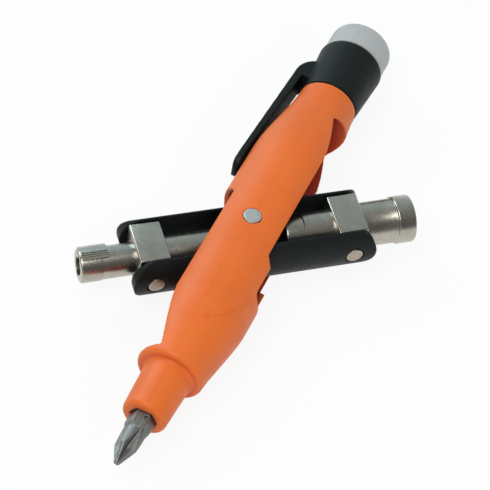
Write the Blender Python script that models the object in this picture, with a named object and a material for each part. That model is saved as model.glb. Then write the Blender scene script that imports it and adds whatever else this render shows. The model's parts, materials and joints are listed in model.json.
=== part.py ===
"""Pen-shaped cabinet key.

A round barrel carries a swing-out link with two double-ended socket keys, a reversible
screwdriver bit in its nose and a press lamp in its clip cap.

Lengths are in metres. The barrel lies along Y with its nose towards -Y, and +Z is the front.
The origin is the centre of the pivot rivet's rear face.
"""
from math import atan2, cos, degrees, pi, radians, sin, sqrt

import bmesh
import bpy
from mathutils import Matrix

MM = 0.001

# Fits and facets
PIECE_GAP = 0.3 * MM            # between pieces that seat on or slide in each other
SWING_GAP = 0.4 * MM            # between the folded link and the barrel's side walls
SQUARE_GAP = 1.3 * MM           # between the link swung square and the ends of its slot
ROUND_STEPS = 40                # facets round the barrel, the cap and the lens
SMALL_STEPS = 24                # facets round keys, rivets, cells and lamp pieces
EDGE_STEPS = 5                  # facets across a rounded edge
END_STEPS = 12                  # facets round a half-round end
STATION_SPACING = 4.0 * MM      # between the rings of the barrel's curved outline

# Link and pivot
LINK_REST_ANGLE = radians(40.0)  # from square to the barrel towards folded in line with it
HUB_RADIUS = 8.8 * MM
CHEEK_THICKNESS = 3.45 * MM
CHEEK_LIP = 0.65 * MM           # cheek edge above the key block
CHEEK_END_REACH = 6.5 * MM      # rounded cheek end beyond the key rivet
WASHER_RADIUS = 5.5 * MM
WASHER_THICKNESS = 0.6 * MM
PIVOT_SHANK_RADIUS = 2.0 * MM
PIVOT_HEAD_RADIUS = 2.65 * MM
PIVOT_HEAD_THICKNESS = 1.2 * MM
KEY_RIVET_SHANK_RADIUS = 1.8 * MM
KEY_RIVET_HEAD_RADIUS = 2.4 * MM
KEY_RIVET_HEAD_THICKNESS = 0.9 * MM
HEAD_RECESS = 0.1 * MM          # rivet faces below the highest point of the surface round them

# Socket keys, from their rivet outwards and inwards
BLOCK_LENGTH = 8.8 * MM
BLOCK_WIDTH = 13.5 * MM
KEY_OUTER_REACH = 19.85 * MM
KEY_INNER_REACH = 19.0 * MM
KEY_HUB_GAP = 1.1 * MM
KEY_CHAMFER = 0.5 * MM
LEFT_SHAFT_RADIUS = 4.6 * MM
LEFT_COLLAR_RADIUS = 4.8 * MM
LEFT_COLLAR_LENGTH = 6.1 * MM
PAD_RISE = 0.5 * MM             # serrated pad above the left key's collar
PAD_BEYOND_COLLAR = 1.9 * MM    # how far the pad runs on towards the block
PAD_END_GAP = 0.6 * MM          # from the pad to the key's end face
PAD_FROM = 160                  # degrees round the key, with 180 at the front
PAD_TO = 250
LEFT_INNER_RADIUS = 5.2 * MM
LEFT_BORE_RADIUS = 2.6 * MM
LEFT_BORE_DEPTH = 10.0 * MM
BIT_SLOT_WIDTH = 1.8 * MM
BIT_SLOT_HALF_LENGTH = 3.75 * MM
BIT_SLOT_DEPTH = 3.0 * MM
SERRATION_WIDTH = 0.5 * MM
SERRATION_DEPTH = 0.35 * MM
SERRATION_PITCH = radians(13.0)
SERRATIONS = 3
LEFT_SQUARE = 5.0 * MM
RIGHT_SHAFT_RADIUS = 6.4 * MM
RIGHT_RING_RADIUS = 6.85 * MM
RIGHT_RING_LENGTH = 5.45 * MM
RIGHT_INNER_RADIUS = 5.9 * MM
RIGHT_SQUARE = 8.0 * MM
RIGHT_TRIANGLE_SIDE = 8.0 * MM
GROOVE_FROM_END = 5.7 * MM
GROOVE_WIDTH = 0.7 * MM
GROOVE_DEPTH = 0.3 * MM
SOCKET_DEPTH = 9.0 * MM

# Screwdriver bit and its magnet
HEX_FLATS = 6.35 * MM
BIT_HELD_LENGTH = 13.2 * MM
BIT_HEX_OUTSIDE = 4.8 * MM
BIT_CHAMFER_LENGTH = 2.4 * MM
BIT_TIP_LENGTH = 10.7 * MM
BIT_SHANK_RADIUS = 3.1 * MM
BIT_NECK_RADIUS = 2.85 * MM
BIT_WING_RADIUS = 3.05 * MM
BIT_CONE_LENGTH = 5.1 * MM
BIT_POINT_RADIUS = 0.8 * MM
FLUTE_LENGTH = 10.5 * MM
FLUTE_TURN = 26                 # degrees round the bit, from the right towards the rear
FLUTE_POINT_DEPTH_RADIUS = 0.55 * MM
FLUTE_HALF_ANGLE = radians(47.0)
BLADE_LENGTH = 3.5 * MM
BLADE_WIDTH = 5.8 * MM
BLADE_THICKNESS = 1.0 * MM
MAGNET_RADIUS = 3.1 * MM
MAGNET_LENGTH = 2.0 * MM

# Barrel
SIDE_WALL = 1.6 * MM
FRONT_WALL = 3.2 * MM
KEY_PLAY = 1.8 * MM             # room round a folded key
KEY_END_GAP = 0.6 * MM          # beyond a folded key in the closed half of its pocket
LOWER_POCKET_GAP = 1.75 * MM    # beyond the left key's end when folded
UPPER_POCKET_GAP = 1.85 * MM    # beyond the right key's end when folded
LOWER_POCKET_BULGE = 1.5 * MM
UPPER_POCKET_BULGE = 3.3 * MM
POCKET_HOLLOW_EXTRA = 0.1 * MM  # half-height of a pocket's hollow end above the slot's
UPPER_POCKET_PAST_AXIS = 4.65 * MM   # how far each open half reaches past the barrel's axis
LOWER_POCKET_PAST_AXIS = 4.1 * MM
POCKET_FLOOR = 1.4 * MM
TOP_FLOOR = 3.2 * MM
LOWER_SWELL_FROM = 18.0 * MM    # widest stretches, measured from the pivot
LOWER_SWELL_TO = 29.5 * MM
UPPER_SWELL_FROM = 17.0 * MM
UPPER_SWELL_TO = 30.0 * MM
SHOULDER_BEYOND_POCKET = 1.6 * MM
SHOULDER_ROUND = 1.5 * MM
SHOULDER_STEP = 2.55 * MM
NOSE_WALL = 2.3 * MM
NOSE_TAPER = 0.6 * MM
NOSE_ROUND = 1.4 * MM
WINDOW_HALF_HEIGHT = 6.0 * MM   # push window in the lower right side wall
WINDOW_END = 20.7 * MM
WINDOW_ROUND = 2.0 * MM
TOP_WALL = 1.4 * MM

# Clip cap
SPIGOT_LENGTH = 6.0 * MM
SPIGOT_WALL = 1.15 * MM
CAP_FLOOR = 1.0 * MM
CAP_FLARE = 1.15 * MM
CAP_WALL = 1.2 * MM
CLIP_WIDTH = 8.8 * MM
CLIP_ROOT_THICKNESS = 1.85 * MM
CLIP_TIP_THICKNESS = 1.6 * MM
CLIP_ROOT_LOW = 3.3 * MM        # above the cap's lower edge
CLIP_ROOT_HIGH = 11.3 * MM
CLIP_ROOT_ROUND = 7.0 * MM
CLIP_ROOT_CLEARANCE = 2.15 * MM  # between the clip and the barrel
CLIP_BEND_AT = 36.0 * MM
CLIP_BEND_CLEARANCE = 0.7 * MM
CLIP_TIP_CLEARANCE = 0.85 * MM
CLIP_TIP_AT = 21.7 * MM
CLIP_TIP_ROUND = 3.8 * MM       # corners of the tip, seen from the side that the clip faces

# Lamp
CELL_RADIUS = 5.8 * MM
CELL_HEIGHT = 5.4 * MM
CELL_CAN_ROUND = 0.5 * MM
CELLS = 3
CELL_GAP = 0.35 * MM
CONTACT_THICKNESS = 0.4 * MM
DOME_RADIUS = 4.5 * MM
DOME_RISE = 0.4 * MM
DOME_SHEET = 0.2 * MM
PRESS_ROOM = 0.7 * MM           # free travel under the board and under the lens
BOARD_THICKNESS = 1.0 * MM
SKIRT_LENGTH = 2.3 * MM
LENS_STEP = 0.5 * MM
LENS_LENGTH = 10.05 * MM
LENS_ROUND = 3.0 * MM
LENS_WALL = 2.0 * MM
SKIRT_WALL = 1.0 * MM
LED_RADIUS = 2.5 * MM
LED_FLANGE_RADIUS = 2.9 * MM
LED_FLANGE_HEIGHT = 1.0 * MM
LED_BODY_LENGTH = 3.6 * MM
RESISTOR_SIZE = (3.2 * MM, 0.6 * MM, 1.6 * MM)

# Link and key places
channel_half_width = BLOCK_WIDTH / 2 + PIECE_GAP
cheek_radius = channel_half_width + CHEEK_THICKNESS
link_half_height = BLOCK_WIDTH / 2 + CHEEK_LIP
rivet_offset = HUB_RADIUS + KEY_HUB_GAP + KEY_INNER_REACH
key_reach = rivet_offset + KEY_OUTER_REACH
slot_half_height = link_half_height + WASHER_THICKNESS + 2 * PIECE_GAP
pivot_bore_radius = PIVOT_SHANK_RADIUS + PIECE_GAP
key_rivet_bore_radius = KEY_RIVET_SHANK_RADIUS + PIECE_GAP

# Barrel places along Y and radii
waist_radius = slot_half_height + FRONT_WALL
swell_radius = cheek_radius + SWING_GAP + SIDE_WALL
pivot_face = waist_radius - HEAD_RECESS
lower_pocket_end = -(key_reach + LOWER_POCKET_GAP)
upper_pocket_end = key_reach + UPPER_POCKET_GAP
socket_end = lower_pocket_end - POCKET_FLOOR
magnet_end = socket_end - PIECE_GAP - MAGNET_LENGTH
bit_inner_end = magnet_end - PIECE_GAP
nose_end = bit_inner_end - BIT_HELD_LENGTH
shoulder = lower_pocket_end - SHOULDER_BEYOND_POCKET
hex_corner_radius = HEX_FLATS / sqrt(3)
socket_corner_radius = (HEX_FLATS + 2 * PIECE_GAP) / sqrt(3)
nose_end_radius = socket_corner_radius + NOSE_WALL
nose_root_radius = nose_end_radius + NOSE_TAPER
shoulder_radius = nose_root_radius + SHOULDER_STEP

# Cap and lamp places along Y and radii
cell_bore_radius = CELL_RADIUS + CELL_GAP
spigot_radius = cell_bore_radius + SPIGOT_WALL
top_bore_radius = spigot_radius + PIECE_GAP
barrel_top_radius = top_bore_radius + TOP_WALL
cap_top_radius = barrel_top_radius + CAP_FLARE
cap_bore_radius = cap_top_radius - CAP_WALL
skirt_radius = cap_bore_radius - PIECE_GAP
lens_radius = cap_top_radius - LENS_STEP
top_bore_floor = upper_pocket_end + TOP_FLOOR
barrel_top = top_bore_floor + SPIGOT_LENGTH
cap_base = barrel_top + PIECE_GAP
spigot_end = top_bore_floor + PIECE_GAP
cell_bore_floor = spigot_end + CAP_FLOOR
contact_base = cell_bore_floor + PIECE_GAP
cells_base = contact_base + CONTACT_THICKNESS + PIECE_GAP
cells_top = cells_base + CELLS * CELL_HEIGHT + (CELLS - 1) * PIECE_GAP
dome_base = cells_top + PIECE_GAP
board_base = dome_base + DOME_SHEET + DOME_RISE + PRESS_ROOM
skirt_base = board_base + BOARD_THICKNESS + PIECE_GAP
cap_top = skirt_base + SKIRT_LENGTH
lens_base = cap_top + PRESS_ROOM
lens_end = lens_base + LENS_LENGTH

# Rotations that lay a solid made along Z along another axis
ALONG_Y = Matrix.Rotation(-pi / 2, 4, "X")
ALONG_X = Matrix.Rotation(pi / 2, 4, "Y")
ALONG_Z = Matrix.Identity(4)


def clear_scene():
    for item in list(bpy.data.objects):
        bpy.data.objects.remove(item, do_unlink=True)


def make_material(name, colour, roughness, metallic=0.0):
    material = bpy.data.materials.new(name)
    material.use_nodes = True
    shader = material.node_tree.nodes["Principled BSDF"]
    shader.inputs["Base Color"].default_value = (*colour, 1.0)
    shader.inputs["Roughness"].default_value = roughness
    shader.inputs["Metallic"].default_value = metallic
    material.diffuse_color = (*colour, 1.0)
    return material


def make_empty(name, parent=None, location=(0, 0, 0), turn=0.0):
    empty = bpy.data.objects.new(name, None)
    bpy.context.collection.objects.link(empty)
    empty.parent = parent
    empty.location = location
    empty.rotation_euler.z = turn
    return empty


def make_object(name, solid, parent, material=None):
    """Turn a bmesh into an object; without a material it is a cutter or a helper."""
    mesh = bpy.data.meshes.new(name)
    bmesh.ops.recalc_face_normals(solid, faces=solid.faces)
    solid.to_mesh(mesh)
    solid.free()
    item = bpy.data.objects.new(name, mesh)
    bpy.context.collection.objects.link(item)
    item.parent = parent
    if material:
        mesh.materials.append(material)
        mesh.shade_smooth()
        mesh.set_sharp_from_angle(angle=radians(35))
    else:
        item.hide_render = True
        item.display_type = "WIRE"
    return item


def combine(target, tool, operation):
    """Add an exact Boolean step to the target: UNION, DIFFERENCE or INTERSECT."""
    step = target.modifiers.new(tool.name, "BOOLEAN")
    step.operation = operation
    step.solver = "EXACT"
    step.object = tool


def turned(profile, axis=ALONG_Z, steps=SMALL_STEPS, ring=False):
    """Spin (height, radius) points round an axis; a ring's profile closes on itself."""
    solid = bmesh.new()
    verts = [solid.verts.new((radius, 0, height)) for height, radius in profile]
    pairs = list(zip(verts, verts[1:]))
    if ring:
        pairs.append((verts[-1], verts[0]))
    edges = [solid.edges.new(pair) for pair in pairs]
    bmesh.ops.spin(
        solid, geom=verts + edges, cent=(0, 0, 0), axis=(0, 0, 1),
        angle=2 * pi, steps=steps, use_merge=True,
    )
    bmesh.ops.remove_doubles(solid, verts=solid.verts, dist=1e-7)
    bmesh.ops.transform(solid, matrix=axis, verts=solid.verts)
    return solid


def rod(low, high, radius, axis=ALONG_Z, steps=SMALL_STEPS):
    return turned([(low, 0), (low, radius), (high, radius), (high, 0)], axis, steps)


def prism(outline, low, high, axis=ALONG_Z):
    """Extrude an outline of (x, y) points from low to high along Z, then lay it along an axis."""
    solid = bmesh.new()
    face = solid.faces.new([solid.verts.new((x, y, low)) for x, y in outline])
    grown = bmesh.ops.extrude_face_region(solid, geom=[face])
    moved = [item for item in grown["geom"] if isinstance(item, bmesh.types.BMVert)]
    bmesh.ops.translate(solid, vec=(0, 0, high - low), verts=moved)
    bmesh.ops.transform(solid, matrix=axis, verts=solid.verts)
    return solid


def box(low, high):
    (x0, y0, z0), (x1, y1, z1) = low, high
    return prism([(x0, y0), (x1, y0), (x1, y1), (x0, y1)], z0, z1)


def arc(centre, radius, start, end, steps=EDGE_STEPS, stretch=1.0):
    """Points on an arc, angles in degrees; a stretch of its second direction makes an ellipse."""
    points = []
    for step in range(steps + 1):
        angle = radians(start + (end - start) * step / steps)
        x = centre[0] + radius * cos(angle)
        y = centre[1] + radius * sin(angle) * stretch
        points.append((x, y))
    return points


def polygon(sides, corner_radius, first_angle=0.0):
    turns = [first_angle + 360 * side / sides for side in range(sides)]
    return [(corner_radius * cos(radians(a)), corner_radius * sin(radians(a))) for a in turns]


def ease(start, end, share):
    """Blend two values with a level start and a level end."""
    return start + (end - start) * share * share * (3 - 2 * share)


def barrel_radius(y):
    """Outer radius of the barrel between its shoulder and its top."""
    if y < -LOWER_SWELL_TO:
        share = (y - shoulder) / (-LOWER_SWELL_TO - shoulder)
        straight = shoulder_radius + (swell_radius - shoulder_radius) * share
        return (straight + ease(shoulder_radius, swell_radius, share)) / 2
    if y < -LOWER_SWELL_FROM:
        return swell_radius
    if y < 0:
        return ease(swell_radius, waist_radius, 1 + y / LOWER_SWELL_FROM)
    if y < UPPER_SWELL_FROM:
        return ease(waist_radius, swell_radius, y / UPPER_SWELL_FROM)
    if y < UPPER_SWELL_TO:
        return swell_radius
    share = (y - UPPER_SWELL_TO) / (barrel_top - UPPER_SWELL_TO)
    return ease(swell_radius, barrel_top_radius, share)


def spread(start, end):
    """Evenly spaced stations from the start up to, but without, the end."""
    count = round((end - start) / STATION_SPACING)
    return [start + (end - start) * step / count for step in range(count)]


def barrel_profile():
    nose_rim = nose_end_radius - NOSE_ROUND
    shoulder_edge = shoulder + SHOULDER_ROUND
    rounded_radius = barrel_radius(shoulder_edge) - SHOULDER_ROUND
    stations = spread(shoulder_edge, -LOWER_SWELL_TO)
    stations += spread(-LOWER_SWELL_TO, -LOWER_SWELL_FROM) + spread(-LOWER_SWELL_FROM, 0)
    stations += spread(0, UPPER_SWELL_FROM) + spread(UPPER_SWELL_FROM, UPPER_SWELL_TO)
    stations += spread(UPPER_SWELL_TO, barrel_top) + [barrel_top]
    profile = [(nose_end, 0)]
    profile += arc((nose_end + NOSE_ROUND, nose_rim), NOSE_ROUND, 180, 90)
    profile.append((shoulder, nose_root_radius))
    profile += arc((shoulder_edge, rounded_radius), SHOULDER_ROUND, 180, 90)[:-1]
    profile += [(y, barrel_radius(y)) for y in stations]
    profile.append((barrel_top, 0))
    return profile


def widen_waist(solid):
    """Only the front and the rear dip at the waist; the sides keep the swell's radius."""
    for vert in solid.verts:
        x, y, z = vert.co
        if -LOWER_SWELL_FROM < y < UPPER_SWELL_FROM:
            crown = max(0.0, (z * z - x * x) / (x * x + z * z))
            waist = barrel_radius(y)
            radius = swell_radius - (swell_radius - waist) * crown
            vert.co.x *= radius / waist
            vert.co.z *= radius / waist


def pocket_outline(centre, bulge, near, half_height):
    """(z, y) outline of a pocket with a hollow end, from near the pivot to the end."""
    side = 1 if centre > 0 else -1
    end = arc((0, centre), half_height, 0, 180, END_STEPS, side * bulge / half_height)
    return [(half_height, near)] + end + [(-half_height, near)]


def make_slot_cutter(parent):
    """The room that the link needs: swung square, folded and everything between."""
    beyond = 2 * swell_radius
    far_beyond = 3 * swell_radius
    tall = slot_half_height + POCKET_HOLLOW_EXTRA
    overlap = PIVOT_HEAD_RADIUS
    folded_end = rivet_offset + CHEEK_END_REACH + SWING_GAP
    folded_room = rod(-folded_end, folded_end, cheek_radius + SWING_GAP, ALONG_Y)
    cutter = make_object("slot_cutter", folded_room, parent)
    square_room = rod(-beyond, beyond, cheek_radius + SQUARE_GAP, ALONG_X, ROUND_STEPS)
    square = make_object("square_room", square_room, parent)
    upper_centre = upper_pocket_end - UPPER_POCKET_BULGE
    upper = pocket_outline(upper_centre, UPPER_POCKET_BULGE, -overlap, tall)
    lower_centre = lower_pocket_end + LOWER_POCKET_BULGE
    lower = pocket_outline(lower_centre, LOWER_POCKET_BULGE, overlap, tall)
    upper_solid = prism(upper, -UPPER_POCKET_PAST_AXIS, far_beyond, ALONG_X)
    lower_solid = prism(lower, -far_beyond, LOWER_POCKET_PAST_AXIS, ALONG_X)
    upper_room = make_object("upper_room", upper_solid, parent)
    lower_room = make_object("lower_room", lower_solid, parent)
    key_end = key_reach + KEY_END_GAP
    upper_bore = rod(overlap, key_end, RIGHT_RING_RADIUS + KEY_PLAY, ALONG_Y, ROUND_STEPS)
    lower_bore = rod(-key_end, -overlap, LEFT_COLLAR_RADIUS + KEY_PLAY, ALONG_Y, ROUND_STEPS)
    upper_key_room = make_object("upper_key_room", upper_bore, parent)
    lower_key_room = make_object("lower_key_room", lower_bore, parent)
    long = 2 * key_reach
    slab_low = (-long, -long, -slot_half_height)
    slab_high = (long, long, slot_half_height)
    slab = make_object("slot_slab", box(slab_low, slab_high), parent)
    for room in (square, upper_room, lower_room, upper_key_room, lower_key_room):
        combine(cutter, room, "UNION")
    combine(cutter, slab, "INTERSECT")
    return cutter


def make_window_cutter(parent):
    """The push window: a finger presses the folded link's cheek through it."""
    half = WINDOW_HALF_HEIGHT
    inner = half - WINDOW_ROUND
    end = -WINDOW_END + WINDOW_ROUND
    outline = [(half, -channel_half_width)]
    outline += arc((inner, end), WINDOW_ROUND, 0, -90)
    outline += arc((-inner, end), WINDOW_ROUND, 270, 180)
    outline.append((-half, -channel_half_width))
    solid = prism(outline, channel_half_width, 2 * swell_radius, ALONG_X)
    return make_object("window_cutter", solid, parent)


def make_barrel(parent, material):
    blank = turned(barrel_profile(), ALONG_Y, ROUND_STEPS)
    widen_waist(blank)
    barrel = make_object("barrel", blank, parent, material)
    head_seat = pivot_face - PIVOT_HEAD_THICKNESS - PIECE_GAP
    head_bore = PIVOT_HEAD_RADIUS + PIECE_GAP
    outside = 2 * waist_radius
    pivot_profile = [(-outside, 0), (-outside, head_bore), (-head_seat, head_bore)]
    pivot_profile += [(-head_seat, pivot_bore_radius), (head_seat, pivot_bore_radius)]
    pivot_profile += [(head_seat, head_bore), (outside, head_bore), (outside, 0)]
    socket = prism(polygon(6, socket_corner_radius), nose_end - NOSE_WALL, socket_end, ALONG_Y)
    top_bore = rod(top_bore_floor, barrel_top + TOP_FLOOR, top_bore_radius, ALONG_Y, ROUND_STEPS)
    combine(barrel, make_slot_cutter(parent), "DIFFERENCE")
    combine(barrel, make_window_cutter(parent), "DIFFERENCE")
    combine(barrel, make_object("pivot_cutter", turned(pivot_profile), parent), "DIFFERENCE")
    combine(barrel, make_object("socket_cutter", socket, parent), "DIFFERENCE")
    combine(barrel, make_object("top_bore_cutter", top_bore, parent), "DIFFERENCE")
    return barrel


def make_pivot(parent, steel, washer_material):
    shank_end = pivot_face - PIVOT_HEAD_THICKNESS
    profile = [(-pivot_face, 0), (-pivot_face, PIVOT_HEAD_RADIUS), (-shank_end, PIVOT_HEAD_RADIUS)]
    profile += [(-shank_end, PIVOT_SHANK_RADIUS), (shank_end, PIVOT_SHANK_RADIUS)]
    profile += [(shank_end, PIVOT_HEAD_RADIUS), (pivot_face, PIVOT_HEAD_RADIUS), (pivot_face, 0)]
    make_object("pivot_rivet", turned(profile), parent, steel)
    low = link_half_height + PIECE_GAP
    high = low + WASHER_THICKNESS
    for name, side in (("front_washer", 1), ("rear_washer", -1)):
        section = [(side * low, pivot_bore_radius), (side * low, WASHER_RADIUS)]
        section += [(side * high, WASHER_RADIUS), (side * high, pivot_bore_radius)]
        make_object(name, turned(section, ring=True), parent, washer_material)


def make_link_frame(parent, material):
    """Two cheeks with round ends, joined by a hub round the pivot."""
    tall = link_half_height / CHEEK_END_REACH
    ends = arc((rivet_offset, 0), CHEEK_END_REACH, -90, 90, END_STEPS, tall)
    ends += arc((-rivet_offset, 0), CHEEK_END_REACH, 90, 270, END_STEPS, tall)
    face_to_y = Matrix.Rotation(pi / 2, 4, "X")
    blank = prism(ends, -2 * cheek_radius, 2 * cheek_radius, face_to_y)
    frame = make_object("link_frame", blank, parent, material)
    length = 2 * key_reach
    rounding = rod(-length, length, cheek_radius, ALONG_X, ROUND_STEPS)
    combine(frame, make_object("cheek_form", rounding, parent), "INTERSECT")
    above = 2 * link_half_height
    room = box((-length, -channel_half_width, -above), (length, channel_half_width, above))
    channel = make_object("channel_cutter", room, parent)
    hub_solid = rod(-2 * above, 2 * above, HUB_RADIUS, steps=ROUND_STEPS)
    combine(channel, make_object("hub_form", hub_solid, parent), "DIFFERENCE")
    combine(frame, channel, "DIFFERENCE")
    pivot = make_object("hub_bore", rod(-2 * above, 2 * above, pivot_bore_radius), parent)
    combine(frame, pivot, "DIFFERENCE")
    seat = cheek_radius - HEAD_RECESS - KEY_RIVET_HEAD_THICKNESS - PIECE_GAP
    head_bore = KEY_RIVET_HEAD_RADIUS + PIECE_GAP
    far = 2 * cheek_radius
    profile = [(-far, 0), (-far, head_bore), (-seat, head_bore), (-seat, key_rivet_bore_radius)]
    profile += [(seat, key_rivet_bore_radius), (seat, head_bore), (far, head_bore), (far, 0)]
    for side, place in (("left", -rivet_offset), ("right", rivet_offset)):
        cutter = make_object(side + "_cheek_bore", turned(profile, ALONG_Y), parent)
        cutter.location.x = place
        combine(frame, cutter, "DIFFERENCE")
    return frame


def make_key_rivet(name, parent, material):
    face = cheek_radius - HEAD_RECESS
    shank_end = face - KEY_RIVET_HEAD_THICKNESS
    profile = [(-face, 0), (-face, KEY_RIVET_HEAD_RADIUS), (-shank_end, KEY_RIVET_HEAD_RADIUS)]
    profile += [(-shank_end, KEY_RIVET_SHANK_RADIUS), (shank_end, KEY_RIVET_SHANK_RADIUS)]
    profile += [(shank_end, KEY_RIVET_HEAD_RADIUS), (face, KEY_RIVET_HEAD_RADIUS), (face, 0)]
    make_object(name, turned(profile, ALONG_Y), parent, material)


def make_key(name, profile, parent, material):
    """A turned key with its square block and its rivet bore; +X points outwards."""
    key = make_object(name, turned(profile, ALONG_X), parent, material)
    half = BLOCK_WIDTH / 2
    block_low = (-BLOCK_LENGTH / 2, -half, -half)
    block_high = (BLOCK_LENGTH / 2, half, half)
    block = make_object(name + "_block", box(block_low, block_high), parent)
    combine(key, block, "UNION")
    bore = rod(-BLOCK_WIDTH, BLOCK_WIDTH, key_rivet_bore_radius, ALONG_Y)
    combine(key, make_object(name + "_bore", bore, parent), "DIFFERENCE")
    return key


def cut_socket(key, name, outline, reach, depth):
    """Sink a socket of an outline into the end of a key at a signed reach."""
    side = 1 if reach > 0 else -1
    low, high = sorted((reach - side * depth, reach + side * depth))
    combine(key, make_object(name, prism(outline, low, high, ALONG_X), key.parent), "DIFFERENCE")


def make_right_key(parent, material):
    outer, inner = KEY_OUTER_REACH, KEY_INNER_REACH
    ring = outer - RIGHT_RING_LENGTH
    groove = -inner + GROOVE_FROM_END
    groove_radius = RIGHT_INNER_RADIUS - GROOVE_DEPTH
    profile = [(-inner, 0), (-inner, RIGHT_INNER_RADIUS - KEY_CHAMFER)]
    profile += [(-inner + KEY_CHAMFER, RIGHT_INNER_RADIUS), (groove, RIGHT_INNER_RADIUS)]
    profile += [(groove, groove_radius), (groove + GROOVE_WIDTH, groove_radius)]
    profile += [(groove + GROOVE_WIDTH, RIGHT_INNER_RADIUS), (0, RIGHT_INNER_RADIUS)]
    profile += [(0, RIGHT_SHAFT_RADIUS), (ring, RIGHT_SHAFT_RADIUS), (ring, RIGHT_RING_RADIUS)]
    profile += [(outer - KEY_CHAMFER, RIGHT_RING_RADIUS), (outer, RIGHT_RING_RADIUS - KEY_CHAMFER)]
    profile.append((outer, 0))
    key = make_key("right_key", profile, parent, material)
    square = polygon(4, RIGHT_SQUARE / sqrt(2), 45)
    triangle = polygon(3, RIGHT_TRIANGLE_SIDE / sqrt(3), 180)
    cut_socket(key, "right_square", square, outer, SOCKET_DEPTH)
    cut_socket(key, "right_triangle", triangle, -inner, SOCKET_DEPTH)


def make_left_key(parent, material):
    outer, inner = KEY_OUTER_REACH, KEY_INNER_REACH
    collar = outer - LEFT_COLLAR_LENGTH
    profile = [(-inner, 0), (-inner, LEFT_INNER_RADIUS - KEY_CHAMFER)]
    profile += [(-inner + KEY_CHAMFER, LEFT_INNER_RADIUS), (0, LEFT_INNER_RADIUS)]
    profile += [(0, LEFT_SHAFT_RADIUS), (collar, LEFT_SHAFT_RADIUS), (collar, LEFT_COLLAR_RADIUS)]
    profile += [(outer - KEY_CHAMFER, LEFT_COLLAR_RADIUS), (outer, LEFT_COLLAR_RADIUS - KEY_CHAMFER)]
    profile.append((outer, 0))
    key = make_key("left_key", profile, parent, material)
    pad_radius = LEFT_COLLAR_RADIUS + PAD_RISE
    section = arc((0, 0), pad_radius, PAD_FROM, PAD_TO, END_STEPS)
    section += arc((0, 0), LEFT_BORE_RADIUS + PAD_RISE, PAD_TO, PAD_FROM, END_STEPS)
    pad_start = collar - PAD_BEYOND_COLLAR
    pad = prism(section, pad_start, outer - PAD_END_GAP, ALONG_X)
    combine(key, make_object("serrated_pad", pad, parent), "UNION")
    half = BIT_SLOT_WIDTH / 2
    reach = BIT_SLOT_HALF_LENGTH
    slot = [(-reach, -half), (reach, -half), (reach, half), (-reach, half)]
    cut_socket(key, "left_bit_slot", slot, outer, BIT_SLOT_DEPTH)
    cut_socket(key, "left_bore", polygon(SMALL_STEPS, LEFT_BORE_RADIUS), outer, LEFT_BORE_DEPTH)
    square = polygon(4, LEFT_SQUARE / sqrt(2), 45)
    cut_socket(key, "left_square", square, -inner, SOCKET_DEPTH)
    groove_low = (pad_start - KEY_CHAMFER, -SERRATION_WIDTH / 2, pad_radius - SERRATION_DEPTH)
    groove_high = (outer + KEY_CHAMFER, SERRATION_WIDTH / 2, 2 * pad_radius)
    for count in range(SERRATIONS):
        groove = make_object(f"serration_{count}", box(groove_low, groove_high), parent)
        groove.rotation_euler.x = (count - (SERRATIONS - 1) / 2) * SERRATION_PITCH
        combine(key, groove, "DIFFERENCE")


def make_bit(parent, material):
    """A reversible bit: a cross point outside the nose and a flat blade inside it."""
    hex_end = nose_end - BIT_HEX_OUTSIDE
    tip = hex_end - BIT_TIP_LENGTH
    cone = tip + BIT_CONE_LENGTH
    blade_root = bit_inner_end - BLADE_LENGTH
    hexagon = prism(polygon(6, hex_corner_radius), hex_end, blade_root, ALONG_Y)
    bit = make_object("bit", hexagon, parent, material)
    clear_radius = hex_corner_radius + PIECE_GAP
    form = [(hex_end - PIECE_GAP, 0), (hex_end - PIECE_GAP, BIT_SHANK_RADIUS)]
    form += [(hex_end, BIT_SHANK_RADIUS), (hex_end + BIT_CHAMFER_LENGTH, clear_radius)]
    form += [(bit_inner_end, clear_radius), (bit_inner_end, 0)]
    combine(bit, make_object("bit_chamfer", turned(form, ALONG_Y, ROUND_STEPS), parent), "INTERSECT")
    profile = [(tip, 0), (tip, BIT_POINT_RADIUS), (cone, BIT_WING_RADIUS)]
    neck_end = hex_end + BIT_CHAMFER_LENGTH
    profile += [(hex_end, BIT_NECK_RADIUS), (neck_end, BIT_NECK_RADIUS), (neck_end, 0)]
    combine(bit, make_object("bit_point", turned(profile, ALONG_Y), parent), "UNION")
    blade_low = (-BLADE_WIDTH / 2, blade_root - BLADE_LENGTH, -BLADE_THICKNESS / 2)
    blade_high = (BLADE_WIDTH / 2, bit_inner_end, BLADE_THICKNESS / 2)
    combine(bit, make_object("bit_blade", box(blade_low, blade_high), parent), "UNION")
    for count in range(4):
        angle = radians(FLUTE_TURN + 90 * count)
        cutter = make_object(f"flute_{count}", flute_solid(tip), parent)
        cutter.rotation_euler.y = angle
        combine(bit, cutter, "DIFFERENCE")


def flute_solid(tip):
    """A V-shaped groove along the bit whose bottom line climbs out of the shank."""
    outer = 3 * BIT_SHANK_RADIUS
    run_out = tip + FLUTE_LENGTH
    slope = (BIT_SHANK_RADIUS - FLUTE_POINT_DEPTH_RADIUS) / FLUTE_LENGTH
    past = BIT_POINT_RADIUS / 2
    solid = bmesh.new()
    ends = []
    for y in (tip - past, run_out + BIT_CHAMFER_LENGTH):
        bottom = FLUTE_POINT_DEPTH_RADIUS + slope * (y - tip)
        reach = (outer - bottom) * sin(FLUTE_HALF_ANGLE) / cos(FLUTE_HALF_ANGLE)
        corners = [(bottom, 0), (outer, reach), (outer, -reach)]
        ends.append([solid.verts.new((radius, y, side)) for radius, side in corners])
    first, last = ends
    solid.faces.new(first)
    solid.faces.new(reversed(last))
    for corner in range(3):
        after = (corner + 1) % 3
        solid.faces.new((first[corner], last[corner], last[after], first[after]))
    return solid


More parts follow.
